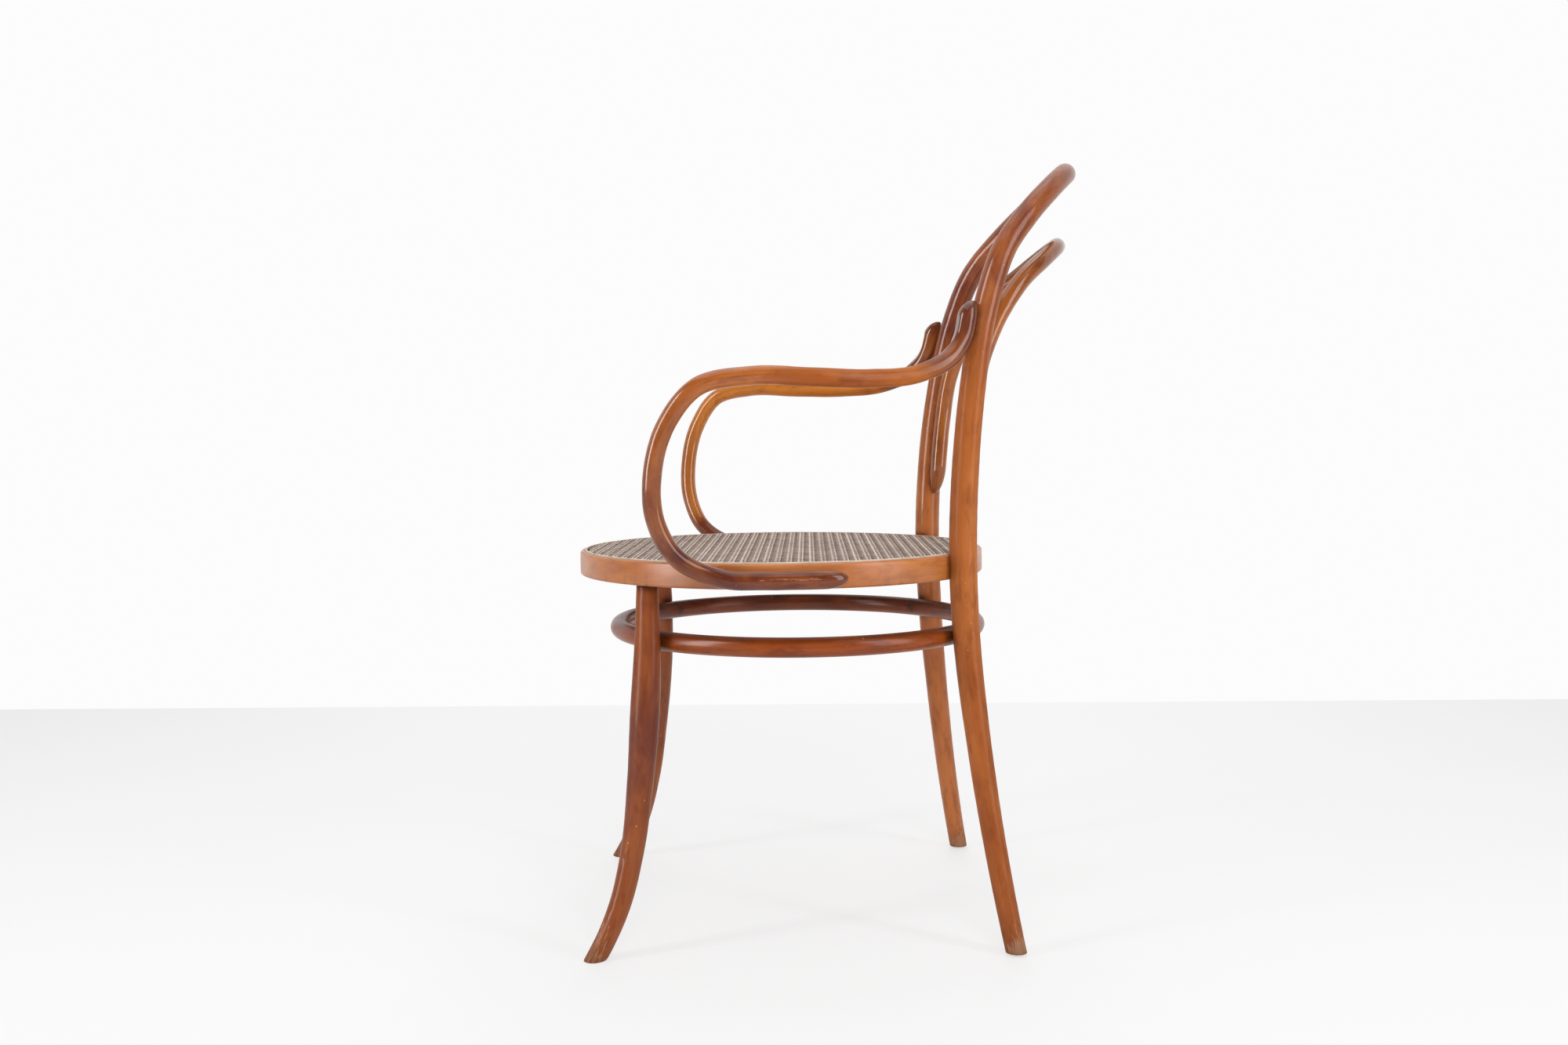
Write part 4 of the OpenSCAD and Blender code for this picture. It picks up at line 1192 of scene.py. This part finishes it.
def make_weave():
    r = np.random.default_rng(5)
    rows = strand_rows()
    parts = []
    base = 0
    for number, (family, c, part) in enumerate(rows):
        tone = r.uniform(0, 0.7)
        if abs(c) >= WEAVE_R - 4:
            continue
        made = straight_strand(family, c, part) if part else slanted_strand(family, c)
        strand = strand_mesh(number, len(rows), family, made, tone)
        strand[1] += base
        base += len(strand[0])
        parts.append(strand)
    verts, quads, uvs, grain, kinds, shades = (np.concatenate(part) for part in zip(*parts))
    a = math.radians(CANE_TURN)
    spin = np.array([[math.cos(a), math.sin(a), 0], [-math.sin(a), math.cos(a), 0], [0, 0, 1]])
    values = {"grain": grain, "kind": kinds, "tone": shades}
    panel = make_mesh("woven_cane_panel", verts @ spin, quads, [], uvs, values, {})
    dress(panel, CANE, "cane", "cane_seat", "cane_edge")


def binding_highlight_and_shade(points):
    # Darker and browner on the inner side, tucked towards the weave: painted shade
    inner = fade(from_middle(points), SEAT_RADIUS - 9, SEAT_RADIUS - 7.5)
    return {"kind": 0.5 * inner, "tone": 0.25 + 0.4 * inner}


def make_binding():
    low = GROOVE_OUTSIDE - GROOVE_WIDTH + LIP + 2 * FIT
    high = GROOVE_OUTSIDE - FIT
    half_w = (high - low) / 2
    profile = [(low, SEAT_HEIGHT - BINDING_TUCK), (high, SEAT_HEIGHT - BINDING_TUCK)]
    for a in np.radians(np.linspace(0, 180, 13)):
        profile.append((low + half_w + half_w * math.cos(a),
                        SEAT_HEIGHT + BINDING_RISE - half_w + half_w * math.sin(a)))
    strand = lathe("cane_binding_strand", profile, 0.0, UPRIGHT_ANGLE, binding_highlight_and_shade, 0.1, 9)
    dress(strand, CANE_BINDING, "binding_cane", "cane_binding")


# Slotted screws, with oval heads that stand a little proud of the wood

def screw_mesh(name, length):
    """One screw along +X from its head's rim at x = 0, in metres."""
    sides = 28
    profile = [(-1.45, 0.0), (-1.4, 0.8), (-1.15, 1.9), (-0.7, 3.0), (-0.15, 3.8), (0.05, SCREW_HEAD_R),
               (0.3, SCREW_HEAD_R - 0.1), (SCREW_HEAD_R - SCREW_R + 0.3, SCREW_R),
               (length - 8, SCREW_R), (length, 0.0)]
    verts = [(x, r * math.cos(a), r * math.sin(a)) for x, r in profile[1:-1] for a in full_turn(sides)]
    apex = len(verts)
    last = apex - sides
    verts += [(profile[0][0], 0, 0), (profile[-1][0], 0, 0)]
    faces = []
    for k in range(sides):
        n = (k + 1) % sides
        faces += [(n, k, apex), (last + k, last + n, apex + 1)]
        for ring in range(0, last, sides):
            faces.append((ring + k, ring + n, ring + sides + n, ring + sides + k))
    return plain_mesh(name, np.array(verts) / 1000, faces)


def cut_slot(mesh):
    """The screw's mesh with a straight slot across its head."""
    reach = SCREW_HEAD_R + 1
    half = SLOT_WIDTH / 2
    corners = [(x, y, z) for x in (-SCREW_HEAD_R / 2, SLOT_FLOOR) for y in (-reach, reach)
               for z in (-half, half)]
    faces = [(0, 1, 3, 2), (4, 6, 7, 5), (0, 4, 5, 1), (2, 3, 7, 6), (0, 2, 6, 4), (1, 5, 7, 3)]
    box = plain_mesh("slot", np.array(corners) / 1000, faces)
    cutter = linked("slot", box)
    body = linked("screw", mesh)
    cut = body.modifiers.new("slot", "BOOLEAN")
    cut.operation = "DIFFERENCE"
    cut.solver = "EXACT"
    cut.object = cutter
    depsgraph = bpy.context.evaluated_depsgraph_get()
    done = bpy.data.meshes.new_from_object(body.evaluated_get(depsgraph))
    bpy.data.objects.remove(body)
    bpy.data.objects.remove(cutter)
    bpy.data.meshes.remove(box)
    return done


def screw_piece(name, length, places, *nodes):
    """Screws at places, each a rim's middle in millimetres, the way it points and a slot turn."""
    base = cut_slot(screw_mesh(name, length))
    verts = []
    faces = []
    for point, way, turn in places:
        x = Vector(unit(way))
        y = Vector((0, 0, 1)).cross(x).normalized()
        axes = Matrix((x, y, x.cross(y))).transposed().to_4x4()
        place = axes @ Matrix.Rotation(math.radians(turn), 4, "X")
        at = Vector((point + [0, SHIFT_Y, 0]) / 1000)
        start = len(verts)
        verts += [tuple(at + place @ v.co) for v in base.vertices]
        faces += [tuple(start + i for i in p.vertices) for p in base.polygons]
    obj = linked(name, plain_mesh(name, verts, faces))
    bpy.data.meshes.remove(base)
    dress(obj, STEEL, "dark_steel", *nodes)


def make_screws():
    face = STRETCHER_RADIUS - math.sqrt(STRETCHER_R ** 2 - SCREW_HEAD_R ** 2) + FIT
    for word, side in SIDES:
        flip = np.array([side, 1, 1])
        for end, angle, turn in (("front", -STRETCHER_FRONT, 35), ("rear", STRETCHER_REAR, 110)):
            place = spoke(angle, face, STRETCHER_Y, STRETCHER_Z) * flip
            screw_piece("stretcher_slotted_screw_%s_%s" % (end, word), STRETCHER_SCREW,
                        [(place, heading(angle, side), turn + 20 * side)],
                        "stretcher_screw_%s_%s" % (end, word))
        places = [(spoke(angle, RING_INNER + FIT, 0, ARM_LOW_Z) * flip, heading(angle, side),
                   70 + 8 * angle) for angle in ARM_SCREW_ANGLES]
        screw_piece("arm_seat_slotted_screws_" + word, ARM_SEAT_SCREW, places,
                    "arm_seat_screws_" + word)
        z = mix(ARM_RUN_Z, ARM_TOP_Z, ARM_SCREW_SHARE)
        back = FIT - math.sqrt(upright_radius_at(z) ** 2 - SCREW_HEAD_R ** 2)
        middle = (upright_at(z) + upright_shift(z, side)) * flip
        way = heading(-ARM_SIDE, side)
        screw_piece("arm_top_slotted_screw_" + word, ARM_TOP_SCREW,
                    [(middle + way * back, way, 60)], "arm_top_screw_" + word)


# Steel and wood that stay as the construction model has them

def dress_kept_nodes():
    looks = {"back_bolt": STEEL, "back_washer": STEEL, "back_nut": STEEL, "bolt_plug": WOOD_PLUG,
             "hoop_dowels": BARE_WOOD}
    for node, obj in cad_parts.items():
        for start, material in looks.items():
            if node.startswith(start):
                paint(obj, material)


# Camera at the photograph's place

FOCAL_PX = 1937.36
PHOTO_WIDTH_PX = 2000
CAMERA_PLACE = (1.9392, -0.0601, 0.6095)
CAMERA_TURNS = (-3.5353, -1.8976, -0.5744)


def make_camera():
    data = bpy.data.cameras.new("camera")
    data.sensor_width = 36.0
    data.lens = FOCAL_PX * data.sensor_width / PHOTO_WIDTH_PX
    data.clip_start = 0.05
    data.clip_end = 60
    camera = linked("camera", data)
    pitch, yaw, roll = (math.radians(v) for v in CAMERA_TURNS)
    forward = Vector((-math.cos(yaw) * math.cos(pitch), -math.sin(yaw) * math.cos(pitch),
                      math.sin(pitch)))
    side = forward.cross(Vector((0, 0, 1))).normalized()
    up = side.cross(forward)
    right = side * math.cos(roll) + up * math.sin(roll)
    top = -side * math.sin(roll) + up * math.cos(roll)
    turn = Matrix((right, top, -forward)).transposed().to_4x4()
    place = Vector(CAMERA_PLACE) + Vector((0, SHIFT_Y / 1000, 0))
    camera.matrix_world = Matrix.Translation(place) @ turn
    bpy.context.scene.camera = camera


# Floor, wall and light

WHITE = (1, 1, 1, 1)
STAGE_REACH = 9
WALL_HEIGHT = 7
WALL_X = -1.392
WALL_LEAN = 0.052
WALL_TONE = 0.974
FLOOR_TONE = 0.99
FLOOR_SHADE = 0.38

# Each soft box's name, place, aimed height, width, height, radiance and the rays it is hidden from.
# One that only reflections see adds its bright band to a gloss.
SOFT_BOXES = (
    ("left_box", (1.2, -2.5, 1.4), 0.7, 0.4, 1.8, 11.0, "glossy"),
    ("left_band", (1.0, -2.0, 1.3), 0.7, 0.75, 2.3, 10.0, "diffuse"),
    ("right_box", (1.65, 2.1, 1.4), 0.7, 0.4, 1.8, 8.5, "glossy"),
    ("right_band", (1.35, 1.75, 1.3), 0.7, 1.0, 2.3, 4.6, "diffuse"),
    ("front_key", (2.9, 0.2, 1.7), 0.45, 1.6, 1.6, 5.2, "glossy"),
    ("ceiling", (0.2, 0.1, 3.0), 0.4, 2.4, 2.4, 1.4, ""),
    ("rear_fill", (-2.6, 0.2, 1.8), 0.5, 1.6, 1.6, 3.0, "glossy"))


def seen_ray(b):
    """1 for the rays that should see the background: camera, glossy and transmission rays."""
    path = b.add("LightPath")
    both = b.sum("MAXIMUM", path.outputs["Is Camera Ray"], path.outputs["Is Glossy Ray"])
    return b.sum("MAXIMUM", both, path.outputs["Is Transmission Ray"])


def glowing(b, share, first, strength):
    """A surface that shows an even white by a share, and lights nothing."""
    glow = b.add("Emission", {"Color": WHITE, "Strength": strength}).outputs[0]
    shown = b.mix_shaders(share, first, glow)
    b.put(b.tree.nodes["Material Output"], {"Surface": shown})
    b.owner.cycles.emission_sampling = "NONE"
    return b.owner


def floor_material():
    """A pale even floor that keeps a soft share of the object's shadow."""
    b = new_material("pale_floor")
    b.put(b.shader, {"Base Color": (0.86, 0.86, 0.86, 1), "Roughness": 1.0, "Specular IOR Level": 0.0})
    return glowing(b, b.times(seen_ray(b), 1 - FLOOR_SHADE), b.shader.outputs[0], FLOOR_TONE)


def wall_material():
    """A white wall seen from its front alone, which holds back no light."""
    b = new_material("white_wall")
    behind = b.add("NewGeometry").outputs["Backfacing"]
    share = b.times(seen_ray(b), b.sum("SUBTRACT", 1.0, behind))
    return glowing(b, share, b.add("BsdfTransparent").outputs[0], WALL_TONE)


def stage_plane(name, corners, material):
    obj = linked(name, plain_mesh(name, corners, [(0, 1, 2, 3)]))
    paint(obj, material)


def make_world():
    """White behind the object, dim in front of it, as in a studio lit by large soft boxes."""
    b = Build(bpy.data.worlds.new("room"))
    bpy.context.scene.world = b.owner
    where = b.add("SeparateXYZ", {0: b.add("TexCoord").outputs["Generated"]})
    light = b.tree.nodes["Background"]
    b.put(light, {"Color": WHITE, "Strength": b.fit(where.outputs[0], 0.0, -0.75, 0.12, 0.8)})
    white = b.add("Background", {"Color": WHITE, "Strength": WALL_TONE})
    seen = b.add("LightPath").outputs["Is Camera Ray"]
    shown = b.mix_shaders(seen, light.outputs[0], white.outputs[0])
    b.put(b.tree.nodes["World Output"], {"Surface": shown})


def soft_box(name, place, aim, width, height, radiance, hidden):
    data = bpy.data.lights.new(name, "AREA")
    data.shape = "RECTANGLE"
    data.size = width
    data.size_y = height
    data.energy = radiance * math.pi * width * height
    obj = linked(name, data)
    obj.location = place
    obj.rotation_mode = "QUATERNION"
    obj.rotation_quaternion = (Vector((0, 0, aim)) - Vector(place)).to_track_quat("-Z", "Y")
    obj.visible_diffuse = hidden != "diffuse"
    obj.visible_glossy = hidden != "glossy"
    obj.visible_camera = False


def make_stage():
    r = STAGE_REACH
    stage_plane("floor", [(-r, -r, 0), (r, -r, 0), (r, r, 0), (-r, r, 0)], floor_material())
    right = WALL_X + r * WALL_LEAN
    left = WALL_X - r * WALL_LEAN
    wall = [(right, r, 0), (right, r, WALL_HEIGHT), (left, -r, WALL_HEIGHT), (left, -r, 0)]
    stage_plane("wall", wall, wall_material())
    make_world()
    for box in SOFT_BOXES:
        soft_box(*box)


make_back()
make_inner_hoop()
make_front_legs()
make_arms()
make_seat_ring()
make_stretcher()
make_weave()
make_binding()
make_screws()
dress_kept_nodes()
make_camera()
make_stage()
bpy.context.scene.view_settings.view_transform = "Standard"
